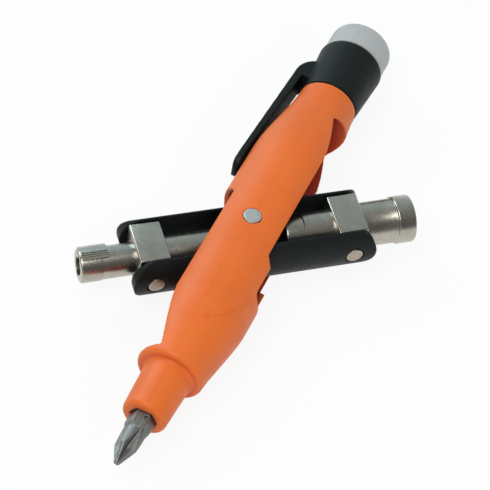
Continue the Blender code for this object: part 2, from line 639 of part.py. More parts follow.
def make_magnet(parent, material):
    solid = rod(magnet_end, magnet_end + MAGNET_LENGTH, MAGNET_RADIUS, ALONG_Y)
    make_object("bit_magnet", solid, parent, material)


def clip_outline():
    """(x, y) outline of the pocket clip, from its root in the cap's wall to its tip."""
    root_low = cap_base + CLIP_ROOT_LOW
    root_high = cap_base + CLIP_ROOT_HIGH
    inside = -(cell_bore_radius - SPIGOT_WALL)
    root_inner = -(barrel_top_radius + CLIP_ROOT_CLEARANCE)
    root_outer = root_inner - CLIP_ROOT_THICKNESS
    round_centre = (root_outer + CLIP_ROOT_ROUND, root_high - CLIP_ROOT_ROUND)
    corner = CLIP_ROOT_THICKNESS / 2
    half = CLIP_TIP_THICKNESS / 2
    tip_middle = -(swell_radius + CLIP_TIP_CLEARANCE + half)
    outline = [(inside, root_high)]
    outline += arc(round_centre, CLIP_ROOT_ROUND, 90, 180)
    outline += arc((tip_middle, CLIP_TIP_AT + half), half, 180, 360)
    outline.append((-(swell_radius + CLIP_BEND_CLEARANCE), CLIP_BEND_AT))
    outline += [(root_inner, root_low - corner), (root_inner + corner, root_low), (inside, root_low)]
    return outline


def clip_tongue():
    """(y, z) outline of the clip seen from the side: a strip with a rounded tip."""
    half = CLIP_WIDTH / 2
    corner = half - CLIP_TIP_ROUND
    tip = CLIP_TIP_AT + CLIP_TIP_ROUND
    outline = [(cap_top, -half), (cap_top, half)]
    outline += arc((tip, corner), CLIP_TIP_ROUND, 90, 180)
    outline += arc((tip, -corner), CLIP_TIP_ROUND, 180, 270)
    return outline


def make_clip_cap(parent, material):
    profile = [(spigot_end, 0), (spigot_end, spigot_radius), (cap_base, spigot_radius)]
    profile += [(cap_base, barrel_top_radius), (cap_top, cap_top_radius), (cap_top, 0)]
    cap = make_object("clip_cap", turned(profile, ALONG_Y, ROUND_STEPS), parent, material)
    clip = make_object("clip_form", prism(clip_outline(), -CLIP_WIDTH, CLIP_WIDTH), parent)
    from_side = Matrix(((0, 0, 1, 0), (1, 0, 0, 0), (0, 1, 0, 0), (0, 0, 0, 1)))
    tongue = prism(clip_tongue(), -2 * swell_radius, 0, from_side)
    combine(clip, make_object("clip_tongue", tongue, parent), "INTERSECT")
    combine(cap, clip, "UNION")
    ledge = board_base - PRESS_ROOM - PIECE_GAP
    bore = [(cell_bore_floor, 0), (cell_bore_floor, cell_bore_radius), (ledge, cell_bore_radius)]
    bore += [(ledge, cap_bore_radius), (cap_top + CAP_WALL, cap_bore_radius), (cap_top + CAP_WALL, 0)]
    combine(cap, make_object("cap_bore", turned(bore, ALONG_Y, ROUND_STEPS), parent), "DIFFERENCE")


def make_lamp(parent, lens, led, board, resistor):
    """The press lamp: lens, light and board move down together."""
    rim = lens_radius - LENS_ROUND
    hollow_end = lens_end - LENS_WALL
    hollow = skirt_radius - SKIRT_WALL
    hollow_round = LENS_ROUND - SKIRT_WALL / 4
    profile = [(hollow_end, 0)]
    profile += arc((hollow_end - hollow_round, hollow - hollow_round), hollow_round, 0, 90)
    profile += [(skirt_base, hollow), (skirt_base, skirt_radius), (lens_base, skirt_radius)]
    profile.append((lens_base, lens_radius))
    profile += arc((lens_end - LENS_ROUND, rim), LENS_ROUND, 90, 0)
    profile.append((lens_end, 0))
    make_object("lamp_lens", turned(profile, ALONG_Y, ROUND_STEPS), parent, lens)
    board_top = board_base + BOARD_THICKNESS
    make_object("lamp_board", rod(board_base, board_top, skirt_radius, ALONG_Y), parent, board)
    light = board_top + PIECE_GAP
    dome = light + LED_FLANGE_HEIGHT + LED_BODY_LENGTH
    flange_top = light + LED_FLANGE_HEIGHT
    outline = [(light, 0), (light, LED_FLANGE_RADIUS), (flange_top, LED_FLANGE_RADIUS)]
    outline.append((flange_top, LED_RADIUS))
    outline += arc((dome, 0), LED_RADIUS, 90, 0)
    make_object("lamp_led", turned(outline, ALONG_Y), parent, led)
    length, height, width = RESISTOR_SIZE
    inner = LED_FLANGE_RADIUS + PIECE_GAP
    low = (inner, light, -length / 2)
    high = (inner + width, light + height, length / 2)
    make_object("lamp_resistor", box(low, high), parent, resistor)


def make_battery(parent, can, brass):
    contact_top = contact_base + CONTACT_THICKNESS
    make_object("battery_contact", rod(contact_base, contact_top, CELL_RADIUS, ALONG_Y), parent, brass)
    for count in range(CELLS):
        low = cells_base + count * (CELL_HEIGHT + PIECE_GAP)
        high = low + CELL_HEIGHT
        profile = [(low, 0), (low, CELL_RADIUS - CELL_CAN_ROUND)]
        profile += [(low + CELL_CAN_ROUND, CELL_RADIUS), (high, CELL_RADIUS), (high, 0)]
        make_object(f"battery_cell_{count + 1}", turned(profile, ALONG_Y), parent, can)
    radius = (DOME_RADIUS * DOME_RADIUS + DOME_RISE * DOME_RISE) / (2 * DOME_RISE)
    edge = degrees(atan2(DOME_RADIUS, radius - DOME_RISE))
    centre = (dome_base + DOME_SHEET + DOME_RISE - radius, 0)
    profile = arc(centre, radius - DOME_SHEET, 0, edge) + arc(centre, radius, edge, 0)
    make_object("switch_dome", turned(profile, ALONG_Y), parent, brass)


def main():
    clear_scene()
    orange = make_material("orange_plastic", (0.78, 0.165, 0.022), 0.45)
    black = make_material("black_plastic", (0.01, 0.012, 0.012), 0.42)
    plated = make_material("zinc_plated_steel", (0.5, 0.49, 0.45), 0.3, 1.0)
    rivet = make_material("rivet_steel", (0.6, 0.6, 0.6), 0.35, 1.0)
    nylon = make_material("washer_nylon", (0.05, 0.05, 0.05), 0.5)
    tool_steel = make_material("tool_steel", (0.17, 0.18, 0.18), 0.35, 1.0)
    magnet = make_material("magnet_nickel", (0.45, 0.45, 0.43), 0.3, 1.0)
    frosted = make_material("frosted_lens", (0.55, 0.57, 0.56), 0.4)
    clear = make_material("led_resin", (0.8, 0.82, 0.85), 0.1)
    green = make_material("circuit_board", (0.02, 0.16, 0.06), 0.5)
    ceramic = make_material("resistor_ceramic", (0.02, 0.02, 0.025), 0.5)
    can = make_material("cell_can", (0.6, 0.6, 0.58), 0.25, 1.0)
    brass = make_material("contact_brass", (0.7, 0.5, 0.2), 0.3, 1.0)

    body = make_empty("body_axis", location=(0, 0, pivot_face))
    make_barrel(body, orange)
    make_pivot(body, rivet, nylon)
    make_bit(body, tool_steel)
    make_magnet(body, magnet)
    make_clip_cap(body, black)
    make_lamp(body, frosted, clear, green, ceramic)
    make_battery(body, can, brass)

    link = make_empty("link_axis", body, turn=LINK_REST_ANGLE)
    make_link_frame(link, black)
    left = make_empty("left_key_axis", link, (-rivet_offset, 0, 0), pi)
    right = make_empty("right_key_axis", link, (rivet_offset, 0, 0))
    make_left_key(left, plated)
    make_right_key(right, plated)
    make_key_rivet("left_key_rivet", left, rivet)
    make_key_rivet("right_key_rivet", right, rivet)
    bpy.context.view_layer.update()


main()
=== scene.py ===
"""Looks of the pen-shaped cabinet key: fine pieces, materials, light and camera.

Pieces are drawn in millimetres in the frame of what they belong to, then set in the scene in
metres. The barrel lies along Y with its nose towards -Y, and +Z is the front.
"""
import json
from math import cos, pi, radians, sin, sqrt, tan

import bmesh
import bpy
from mathutils import Matrix, Vector

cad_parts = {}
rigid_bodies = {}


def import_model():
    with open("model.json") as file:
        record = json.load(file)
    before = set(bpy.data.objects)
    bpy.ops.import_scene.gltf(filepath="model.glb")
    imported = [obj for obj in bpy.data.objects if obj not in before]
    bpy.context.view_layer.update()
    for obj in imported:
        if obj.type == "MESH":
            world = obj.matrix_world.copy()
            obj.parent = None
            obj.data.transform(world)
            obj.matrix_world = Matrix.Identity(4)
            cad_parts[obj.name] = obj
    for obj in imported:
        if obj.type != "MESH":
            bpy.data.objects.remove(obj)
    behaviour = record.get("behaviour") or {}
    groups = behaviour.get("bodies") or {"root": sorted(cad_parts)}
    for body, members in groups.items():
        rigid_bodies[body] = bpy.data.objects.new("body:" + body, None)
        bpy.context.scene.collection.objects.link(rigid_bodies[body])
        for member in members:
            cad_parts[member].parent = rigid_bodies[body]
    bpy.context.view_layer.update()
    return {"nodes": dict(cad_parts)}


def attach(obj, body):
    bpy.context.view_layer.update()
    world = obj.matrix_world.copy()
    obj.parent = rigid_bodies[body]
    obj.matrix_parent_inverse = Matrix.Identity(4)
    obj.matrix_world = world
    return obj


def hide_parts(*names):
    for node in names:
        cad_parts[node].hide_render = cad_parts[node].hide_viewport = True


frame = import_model()

# Frames of the barrel, the link and the two keys, in metres
AXIS_HEIGHT = 0.0117
LINK_ANGLE = radians(40.0)
RIVET_OFFSET = 28.9         # millimetres
BODY = Matrix.Translation((0, 0, AXIS_HEIGHT))
LINK = BODY @ Matrix.Rotation(LINK_ANGLE, 4, "Z")
RIGHT = LINK @ Matrix.Translation((RIVET_OFFSET / 1000, 0, 0))
LEFT = LINK @ Matrix.Translation((-RIVET_OFFSET / 1000, 0, 0)) @ Matrix.Rotation(pi, 4, "Z")

# Facets
ROUND_STEPS = 112           # round the barrel, the cap, the lens and the link
SMALL_STEPS = 72            # round the keys, the rivets, the bit and their bores
HOLE_STEPS = 24             # round the dimple in the bit
EDGE_STEPS = 8              # across a rounded edge
BEND_STEPS = 24             # across the clip's bend and the lens's rim
CORNER_STEPS = 16           # across a corner of the clip's tip, and inside the lens
CLIP_END_STEPS = 12         # round the thin end of the clip
END_STEPS = 40              # round an end of the link
POCKET_STEPS = 32           # round the end of a pocket
PAD_STEPS = 30              # across the left key's pad
BEVEL_STEPS = 4             # across an edge of a key block
BARREL_STATIONS = 110       # along the barrel's curved outline

# How far cutters reach past what they cut; from here to the stage, lengths are in millimetres
CUT_LONG = 97.0             # past both ends of the tool, from its middle
CUT_WIDE = 25.0             # past both sides of the tool, from its middle
CUT_POCKET = 37.0           # out of the barrel's side, from its middle
CUT_PAST = 2.0              # beyond an end face

# Link
GAP = 0.3                   # between a piece and its seat
HUB_RADIUS = 8.8
CHEEK_RADIUS = 10.5
CHEEK_END = 6.5
CHANNEL_HALF = 7.05
LINK_HALF_HEIGHT = 7.4
SLOT_HALF_HEIGHT = 8.6
SWING_GAP = 0.4             # round the link when it is folded
SQUARE_GAP = 1.3            # round the link when it is swung square

# Rivets
RIVET_FACE = 10.4
RIVET_HEAD = 2.4
RIVET_HEAD_THICKNESS = 0.9
RIVET_SHANK = 1.8
RIVET_EDGE = 0.12
RIVET_DOME_RISE = 0.05
RIVET_DOME_SHARE = 0.6      # of the head's radius, where the dome's slope changes
RIVET_DOME_STEP = 0.03      # the rise there
PIVOT_FACE = 11.7
PIVOT_HEAD = 2.55
PIVOT_HEAD_GAP = 0.15
PIVOT_HEAD_THICKNESS = 1.2
PIVOT_SHANK = 2.0

# Barrel, with its stretches measured along Y from the pivot
SWELL = 12.5
WAIST = 11.8
LOWER_SWELL_FROM = -18.0
LOWER_SWELL_TO = -29.5
UPPER_SWELL_FROM = 17.0
UPPER_SWELL_TO = 30.0
BARREL_TOP = 59.8
BARREL_TOP_RADIUS = 9.0
BARREL_TOP_ROUND = 0.4
STATIONS_END = BARREL_TOP - 0.5
SHOULDER = -52.1
SHOULDER_RADIUS = 9.46
SHOULDER_ROUND = 1.5
NOSE_END = -67.7
NOSE_END_RADIUS = 6.31
NOSE_ROOT_RADIUS = 6.91
NOSE_ROUND = 1.4
NOSE_FILLET = 0.9
LOWER_POCKET_END = -50.5
LOWER_POCKET_BULGE = 1.5
LOWER_POCKET_PAST_AXIS = 4.1
LOWER_KEY_ROOM = 6.6        # radius of the room round the folded left key
UPPER_POCKET_END = 50.6
UPPER_POCKET_BULGE = 3.3
UPPER_POCKET_PAST_AXIS = 4.65
UPPER_KEY_ROOM = 8.65       # radius of the room round the folded right key
KEY_ROOM_END = 49.35
POCKET_HALF_HEIGHT = SLOT_HALF_HEIGHT + 0.1
SOCKET_END = -51.9
SOCKET_CORNER = 4.01
TOP_BORE_FLOOR = 53.8
TOP_BORE_RADIUS = 7.6
WINDOW_HALF = 6.0
WINDOW_END = -20.7
WINDOW_ROUND = 2.0

# Thin trim on the barrel
SEAM_RUNS = (("nose", -66.2, -53.4), ("lower", -50.4, -3.4), ("upper", 3.4, 58.8))
SEAM_HALF_WIDTH = 0.14
SEAM_HEIGHT = 0.05
ARROW_TAIL = Vector((10.03, -24.35))
ARROW_BEND = Vector((9.2, -32.6))
ARROW_HEAD = Vector((2.02, -37.81))
ARROW_BARBS = (Vector((3.1, -35.33)), Vector((3.9, -37.45)))
ARROW_STEPS = 24            # along the bent shaft
ARROW_FINE_STEPS = 6        # between two points of the shaft or of a barb
ARROW_HALF_WIDTH = 0.28
ARROW_HEIGHT = 0.2
TRIM_DEPTH = 0.15           # how far the trim is sunk into the barrel

# Cap and lamp
SPIGOT_END = 54.1
SPIGOT_RADIUS = 7.3
CAP_BASE = 60.1
CAP_BASE_ROUND = 0.3
CAP_TOP = 78.1
CAP_TOP_RADIUS = 10.15
CAP_TOP_ROUND = 0.4
CELL_BORE_FLOOR = 55.1
CELL_BORE_RADIUS = 6.15
CAP_LEDGE = 73.5
CAP_BORE_RADIUS = 8.95
CLIP_HALF_WIDTH = 4.4
CLIP_BLANK_HALF_WIDTH = 10.0
CLIP_SUNK = -5.0            # x to which the clip's root runs into the cap
CLIP_ROOT_LOW = CAP_BASE + 3.3
CLIP_ROOT_HIGH = CAP_BASE + 11.3
CLIP_ROOT_INNER = -(BARREL_TOP_RADIUS + 1.6)
CLIP_ROOT_OUTER = CLIP_ROOT_INNER - 2.4
CLIP_ROOT_FILLET = 0.9
CLIP_BEND = 7.0
CLIP_BACK = ((-(SWELL + 0.25), 30.0), (-(SWELL - 0.25), 38.0))  # (x, y) on its inner face
CLIP_TIP = 21.7
CLIP_TIP_HALF = 1.05        # half the thickness at the tip
CLIP_TIP_GAP = 0.35         # between the tip and the barrel
CLIP_TIP_ROUND = 3.8
LENS_BASE = 78.8
LENS_BASE_ROUND = 0.3
LENS_END = 88.85
LENS_RADIUS = 9.65
LENS_ROUND = 3.0
LENS_END_WALL = 2.0
LENS_HOLLOW_ROUND = 2.8
SKIRT_BASE = 75.8
SKIRT_RADIUS = 8.65
SKIRT_WALL = 1.0

# Keys, from their rivet outwards and inwards
BLOCK_LENGTH = 8.8
BLOCK_WIDTH = 13.5
BLOCK_ROUND = 0.45
OUTER = 19.85
INNER = 19.0
KEY_BORE = 2.1
KEY_EDGE = 0.5              # rounding of the keys' end edges
SOCKET_DEPTH = 9.0

# Right key
RIGHT_END_RADIUS = 5.6
RIGHT_END_ROUND = 0.9
RIGHT_END_LENGTH = 5.7
RIGHT_STEP_LENGTH = 0.4
RIGHT_INNER_RADIUS = 5.9
RIGHT_SHAFT_RADIUS = 6.4
RING_RADIUS = 6.85
RING_LENGTH = 5.45
RING_FOOT = 0.1             # length of the low step where the ring starts
RING_FOOT_RISE = 0.05
RIGHT_SQUARE = 8.0
RIGHT_TRIANGLE = 8.0

# Left key
LEFT_INNER_RADIUS = 5.2
LEFT_SHAFT_RADIUS = 4.6
COLLAR_RADIUS = 4.8
COLLAR_LENGTH = 6.1
COLLAR_SLOPE = 0.2
PAD_RADIUS = 5.3
PAD_ROOT_RADIUS = 3.1
PAD_FROM = 160              # degrees round the key, with 180 at the front
PAD_TO = 250
PAD_BEYOND_COLLAR = 1.9
PAD_END_GAP = 0.6
KNURLS = 3
KNURL_HALF_WIDTH = 0.18
KNURL_BOTTOM = 5.05         # from the key's axis
KNURL_TOP = 10.0
KNURL_PAST_PAD = 0.5
KNURL_FIRST = 1.0           # degrees, as is the pitch
KNURL_PITCH = 7.5
LEFT_SQUARE = 5.0
LEFT_BORE_RADIUS = 2.6
LEFT_BORE_DEPTH = 10.0
BIT_SLOT_HALF_LENGTH = 3.75
BIT_SLOT_HALF_WIDTH = 0.9
BIT_SLOT_DEPTH = 3.0

# Bit, with its places along Y measured from the pivot
HEX_CORNER = 6.35 / sqrt(3)
HEX_END = -72.5
HEX_BACK = -58.0
HEX_CHAMFER_LENGTH = 2.4
HEX_CHAMFER_RADIUS = 3.97
BIT_TIP = -83.2
BIT_POINT_RADIUS = 0.8
BIT_CONE_LENGTH = 5.1
BIT_WING_RADIUS = 3.05
BIT_SHANK_RADIUS = 3.12
BIT_END_RADIUS = 3.1
BIT_INNER_END = -54.5
BLADE_FROM = -61.5
BLADE_HALF_WIDTH = 2.9
BLADE_HALF_THICKNESS = 0.5
DIMPLE_PLACE = (1.45, NOSE_END - 1.0, 3.3)
DIMPLE_RADIUS = 0.55
DIMPLE_HALF_DEPTH = 0.9
FLUTES = 4
FLUTE_TURN = 28.0           # degrees round the bit, from the right towards the rear
FLUTE_HALF_ANGLE = radians(46)
FLUTE_STATIONS = ((-0.4, 0.5), (5.0, 0.8), (15.0, 4.48))  # from the tip, and the bottom's radius
FLUTE_TOP = 9.3

# Stage, metres
FLOOR_HALF = 1.5
FLOOR_HEIGHT = -0.0009
FLOOR_WHITE = 0.9           # share of plain white in what the camera and reflections see
TOOL_MIDDLE = (0, 0, 0.01)

# Camera, fitted to the photograph: its axes, and its place in metres
CAMERA_RIGHT = (0.90616, 0.40321, 0.12767)
CAMERA_UP = (-0.39123, 0.68445, 0.61519)
CAMERA_BACK = (0.16067, -0.60741, 0.77797)
CAMERA_PLACE = (0.09021, -0.34259, 0.44865)
CAMERA_SENSOR = 36.0        # millimetres, as is the lens
CAMERA_LENS = 146.94

ALONG_X = Matrix.Rotation(pi / 2, 4, "Y")
ALONG_Y = Matrix.Rotation(-pi / 2, 4, "X")
ALONG_Z = Matrix.Identity(4)
FROM_SIDE = Matrix(((0, 0, 1, 0), (1, 0, 0, 0), (0, 1, 0, 0), (0, 0, 0, 1)))  # outline in Y and Z


# Shapes

def turned(profile, axis=ALONG_Z, steps=SMALL_STEPS):
    """Spin (height, radius) points round an axis."""
    solid = bmesh.new()
    verts = [solid.verts.new((radius, 0, height)) for height, radius in profile]
    edges = [solid.edges.new(pair) for pair in zip(verts, verts[1:])]
    bmesh.ops.spin(
        solid, geom=verts + edges, cent=(0, 0, 0), axis=(0, 0, 1),
        angle=2 * pi, steps=steps, use_merge=True,
    )
    bmesh.ops.remove_doubles(solid, verts=solid.verts, dist=1e-5)
    bmesh.ops.transform(solid, matrix=axis, verts=solid.verts)
    return solid


def rod(low, high, radius, axis=ALONG_Z, steps=SMALL_STEPS):
    return turned([(low, 0), (low, radius), (high, radius), (high, 0)], axis, steps)


def prism(outline, low, high, axis=ALONG_Z):
    """Extrude an outline of (x, y) points from low to high along Z, then lay it along an axis."""
    solid = bmesh.new()
    face = solid.faces.new([solid.verts.new((x, y, low)) for x, y in outline])
    grown = bmesh.ops.extrude_face_region(solid, geom=[face])
    moved = [item for item in grown["geom"] if isinstance(item, bmesh.types.BMVert)]
    bmesh.ops.translate(solid, vec=(0, 0, high - low), verts=moved)
    bmesh.ops.transform(solid, matrix=axis, verts=solid.verts)
    return solid


def box(low, high):
    (x0, y0, z0), (x1, y1, z1) = low, high
    return prism([(x0, y0), (x1, y0), (x1, y1), (x0, y1)], z0, z1)


def rounded_box(low, high, radius):
    solid = box(low, high)
    bmesh.ops.bevel(
        solid, geom=list(solid.edges), offset=radius, offset_type="OFFSET",
        segments=BEVEL_STEPS, profile=0.5, affect="EDGES",
    )
    return solid


def arc(centre, radius, start, end, steps=EDGE_STEPS, stretch=1.0):
    """Points on an arc, angles in degrees; a stretch of its second direction makes an ellipse."""
    points = []
    for step in range(steps + 1):
        angle = radians(start + (end - start) * step / steps)
        x = centre[0] + radius * cos(angle)
        y = centre[1] + radius * sin(angle) * stretch
        points.append((x, y))
    return points


def polygon(sides, corner, first_angle=0.0):
    turns = [radians(first_angle + 360 * side / sides) for side in range(sides)]
    return [(corner * cos(turn), corner * sin(turn)) for turn in turns]


def ease(start, end, share):
    """Blend two values with a level start and a level end."""
    return start + (end - start) * share * share * (3 - 2 * share)


def ribbon(points, normals, half_width, height):
    """A low raised bead that runs along points on a surface with the given normals."""
    solid = bmesh.new()
    rows = []
    for index, (point, normal) in enumerate(zip(points, normals)):
        before = points[max(index - 1, 0)]
        after = points[min(index + 1, len(points) - 1)]
        side = (after - before).cross(normal).normalized() * half_width
        sunk = point - normal * TRIM_DEPTH
        crown = point + normal * height
        corners = [sunk - side, sunk + side, point + side]
        corners += [crown + side * 0.5, crown - side * 0.5, point - side]
        rows.append([solid.verts.new(corner) for corner in corners])
    for row, after in zip(rows, rows[1:]):
        for corner in range(len(row)):
            other = (corner + 1) % len(row)
            solid.faces.new((row[corner], row[other], after[other], after[corner]))
    solid.faces.new(rows[0])
    solid.faces.new(reversed(rows[-1]))
    return solid


# Objects

def draft(name, solid, turn=None):
    """A working object, in millimetres, at the scene's origin."""
    mesh = bpy.data.meshes.new(name)
    bmesh.ops.recalc_face_normals(solid, faces=solid.faces)
    solid.to_mesh(mesh)
    solid.free()
    item = bpy.data.objects.new(name, mesh)
    if turn:
        item.matrix_world = turn
    bpy.context.scene.collection.objects.link(item)
    return item


def combine(target, tool, operation="DIFFERENCE"):
    step = target.modifiers.new(tool.name, "BOOLEAN")
    step.operation = operation
    step.solver = "MANIFOLD"
    step.object = tool


def soften(item, voxel, passes, keep):
    """Give a piece the small rounded edges of a moulding."""
    remesh = item.modifiers.new("remesh", "REMESH")
    remesh.mode = "VOXEL"
    remesh.voxel_size = voxel
    remesh.use_smooth_shade = True
    smooth = item.modifiers.new("smooth", "SMOOTH")
    smooth.factor = 0.5
    smooth.iterations = passes
    thin = item.modifiers.new("thin", "DECIMATE")
    thin.ratio = keep


def settle(item, place, body, material, nodes=(), sharp=35):
    """Bake a draft and its tools into a finished piece that rides on a body."""
    tools = set()
    pending = [item]
    while pending:
        for step in pending.pop().modifiers:
            if step.type == "BOOLEAN" and step.object not in tools:
                tools.add(step.object)
                pending.append(step.object)
    bpy.context.view_layer.update()
    graph = bpy.context.evaluated_depsgraph_get()
    mesh = bpy.data.meshes.new_from_object(item.evaluated_get(graph))
    mesh.transform(Matrix.Scale(0.001, 4))
    item.modifiers.clear()
    item.data = mesh
    item.matrix_world = place
    for tool in tools:
        bpy.data.objects.remove(tool, do_unlink=True)
    mesh.materials.clear()
    mesh.materials.append(material)
    mesh.shade_smooth()
    if sharp:
        mesh.set_sharp_from_angle(angle=radians(sharp))
    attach(item, body)
    if nodes:
        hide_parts(*nodes)


# Materials

def add(tree, kind, inputs, **settings):
    """A node with its settings; an input is either a value or a socket to link from."""
    made = tree.nodes.new(kind)
    for name, value in settings.items():
        setattr(made, name, value)
    for name, value in inputs.items():
        if isinstance(value, bpy.types.NodeSocket):
            tree.links.new(value, made.inputs[name])
        else:
            made.inputs[name].default_value = value
    return made


def ramp(tree, factor, *stops):
    """A colour ramp from (position, colour) stops; a number stands for a grey."""
    made = tree.nodes.new("ShaderNodeValToRGB")
    tree.links.new(factor, made.inputs["Fac"])
    elements = made.color_ramp.elements
    while len(elements) < len(stops):
        elements.new(0.5)
    for element, (position, colour) in zip(elements, stops):
        shade = colour if isinstance(colour, tuple) else (colour,) * 3
        element.position = position
        element.color = (*shade, 1.0)
    return made.outputs["Color"]


def noise(tree, vector, scale, detail=3.0, roughness=0.55):
    inputs = {"Vector": vector, "Scale": scale, "Detail": detail, "Roughness": roughness}
    return add(tree, "ShaderNodeTexNoise", inputs).outputs["Fac"]


def stretched(tree, vector, scale):
    mapping = add(tree, "ShaderNodeMapping", {"Vector": vector, "Scale": scale})
    return mapping.outputs["Vector"]


def bump(tree, height, strength, distance, normal=None):
    inputs = {"Height": height, "Strength": strength, "Distance": distance}
    if normal:
        inputs["Normal"] = normal
    return add(tree, "ShaderNodeBump", inputs).outputs["Normal"]


def mix(tree, factor, first, second):
    made = tree.nodes.new("ShaderNodeMix")
    made.data_type = "RGBA"
    sockets = {socket.identifier: socket for socket in made.inputs}
    for name, value in (("Factor_Float", factor), ("A_Color", first), ("B_Color", second)):
        if isinstance(value, bpy.types.NodeSocket):
            tree.links.new(value, sockets[name])
        else:
            sockets[name].default_value = value if name == "Factor_Float" else (*value, 1.0)
    return next(out for out in made.outputs if out.identifier == "Result_Color")


def blank_material(name, metallic=0.0):
    material = bpy.data.materials.new("look_" + name)
    material.use_nodes = True
    tree = material.node_tree
    shader = tree.nodes["Principled BSDF"]
    shader.inputs["Metallic"].default_value = metallic
    place = tree.nodes.new("ShaderNodeTexCoord").outputs["Object"]
    return material, tree, shader, place


def dress(tree, shader, colour, rough, normal):
    tree.links.new(colour, shader.inputs["Base Color"])
    tree.links.new(rough, shader.inputs["Roughness"])
    tree.links.new(normal, shader.inputs["Normal"])


def orange_plastic(name="orange_plastic", shade=1.0):
    """Satin orange moulding, painted darker red in its hollows as painted shade; a lower shade darkens
    the whole colour, as painted shade for the line where two halves meet.
    """
    material, tree, shader, place = blank_material(name)
    tones = ((0.76, 0.146, 0.018), (0.82, 0.167, 0.024), (0.84, 0.22, 0.05), (0.58, 0.058, 0.024))
    low, high, fleck, painted_hollow_shade = [tuple(channel * shade for channel in tone) for tone in tones]
    cloud = noise(tree, place, 70.0)
    grain = noise(tree, place, 2600.0, 2.0)
    speck = noise(tree, place, 700.0, 4.0, 0.7)
    base = ramp(tree, cloud, (0.3, low), (0.7, high))
    flecked = mix(tree, ramp(tree, speck, (0.62, 0.0), (0.8, 0.25)), base, fleck)
    # Painted shade: where the moulding's own hollows are deep, the colour turns darker red in place of
    # their shade
    hollow = add(
        tree, "ShaderNodeAmbientOcclusion", {"Distance": 0.04}, only_local=True, samples=8,
    )
    colour = mix(tree, ramp(tree, hollow.outputs["AO"], (0.5, 1.0), (0.85, 0.0)), flecked, painted_hollow_shade)
    rough = ramp(tree, noise(tree, place, 160.0), (0.3, 0.43), (0.7, 0.53))
    waves = bump(tree, noise(tree, place, 120.0, 2.0), 0.10, 0.0004)
    dress(tree, shader, colour, rough, bump(tree, grain, 0.16, 0.00006, waves))
    shader.inputs["Specular IOR Level"].default_value = 0.37
    return material


def black_plastic():
    material, tree, shader, place = blank_material("black_plastic")
    grain = noise(tree, place, 3200.0, 3.0, 0.65)
    scuff = noise(tree, stretched(tree, place, (900.0, 140.0, 500.0)), 1.0, 5.0, 0.7)
    base = ramp(tree, grain, (0.35, (0.006, 0.0082, 0.0078)), (0.7, (0.011, 0.0142, 0.0135)))
    colour = mix(tree, ramp(tree, scuff, (0.66, 0.0), (0.86, 0.3)), base, (0.04, 0.044, 0.045))
    rough = ramp(tree, noise(tree, place, 240.0), (0.3, 0.44), (0.7, 0.58))
    dress(tree, shader, colour, rough, bump(tree, grain, 0.3, 0.00006))
    # Painted shade: the specular is turned down where parts crowd close, so that recesses and the
    # link's channel look darker
    nearby = add(tree, "ShaderNodeAmbientOcclusion", {"Distance": 0.012}, samples=8)
    painted_recess_shade_gloss = ramp(tree, nearby.outputs["AO"], (0.4, 0.03), (0.8, 0.2))
    tree.links.new(painted_recess_shade_gloss, shader.inputs["Specular IOR Level"])
    return material


def plated_steel():
    material, tree, shader, place = blank_material("zinc_plated_steel", 1.0)
    cloud = noise(tree, place, 260.0, 4.0, 0.6)
    spots = noise(tree, place, 2600.0, 4.0, 0.7)
    lines = noise(tree, stretched(tree, place, (5200.0, 120.0, 120.0)), 1.0, 2.0)
    base = ramp(
        tree, cloud,
        (0.28, (0.38, 0.365, 0.315)), (0.5, (0.445, 0.42, 0.36)), (0.72, (0.52, 0.49, 0.425)),
    )
    pitted = mix(tree, ramp(tree, spots, (0.58, 0.0), (0.76, 0.5)), base, (0.27, 0.255, 0.22))
    colour = mix(tree, ramp(tree, spots, (0.26, 0.6), (0.42, 0.0)), pitted, (0.66, 0.63, 0.57))
    rough = ramp(tree, spots, (0.3, 0.22), (0.75, 0.38))
    turning = bump(tree, lines, 0.10, 0.00004)
    dress(tree, shader, colour, rough, bump(tree, spots, 0.14, 0.00005, turning))
    return material


def rivet_steel(axis, dark, light):
    """Satin steel with fine rings round the rivet's own axis."""
    name = "rivet_steel_" + axis.lower()
    material, tree, shader, place = blank_material(name, 1.0)
    wave = {"Vector": place, "Scale": 900.0, "Distortion": 1.5, "Detail": 2.0}
    rings = add(tree, "ShaderNodeTexWave", wave, wave_type="RINGS", rings_direction=axis)
    spots = noise(tree, place, 1800.0, 3.0, 0.6)
    colour = ramp(tree, spots, (0.3, dark), (0.7, light))
    rough = ramp(tree, noise(tree, place, 700.0), (0.3, 0.34), (0.7, 0.5))
    dress(tree, shader, colour, rough, bump(tree, rings.outputs["Fac"], 0.12, 0.00003))
    return material


def tool_steel():
    material, tree, shader, place = blank_material("tool_steel", 1.0)
    streak = noise(tree, stretched(tree, place, (2600.0, 160.0, 2600.0)), 1.0, 4.0, 0.6)
    spots = noise(tree, place, 1900.0, 4.0, 0.7)
    base = ramp(tree, streak, (0.3, (0.185, 0.184, 0.176)), (0.7, (0.295, 0.29, 0.272)))
    colour = mix(tree, ramp(tree, spots, (0.62, 0.0), (0.8, 0.5)), base, (0.36, 0.355, 0.33))
    rough = ramp(tree, spots, (0.3, 0.46), (0.75, 0.60))
    dress(tree, shader, colour, rough, bump(tree, streak, 0.2, 0.00005))
    return material


def frosted_lens():
    material, tree, shader, place = blank_material("frosted_lens")
    grain = noise(tree, place, 3000.0, 2.0)
    cloud = noise(tree, stretched(tree, place, (140.0, 60.0, 140.0)), 1.0, 4.0, 0.6)
    colour = ramp(tree, cloud, (0.3, (0.475, 0.495, 0.49)), (0.7, (0.55, 0.57, 0.565)))
    rough = ramp(tree, grain, (0.3, 0.42), (0.7, 0.56))
    dress(tree, shader, colour, rough, bump(tree, grain, 0.15, 0.00005))
    shader.inputs["Transmission Weight"].default_value = 0.12
    shader.inputs["IOR"].default_value = 1.45
    return material


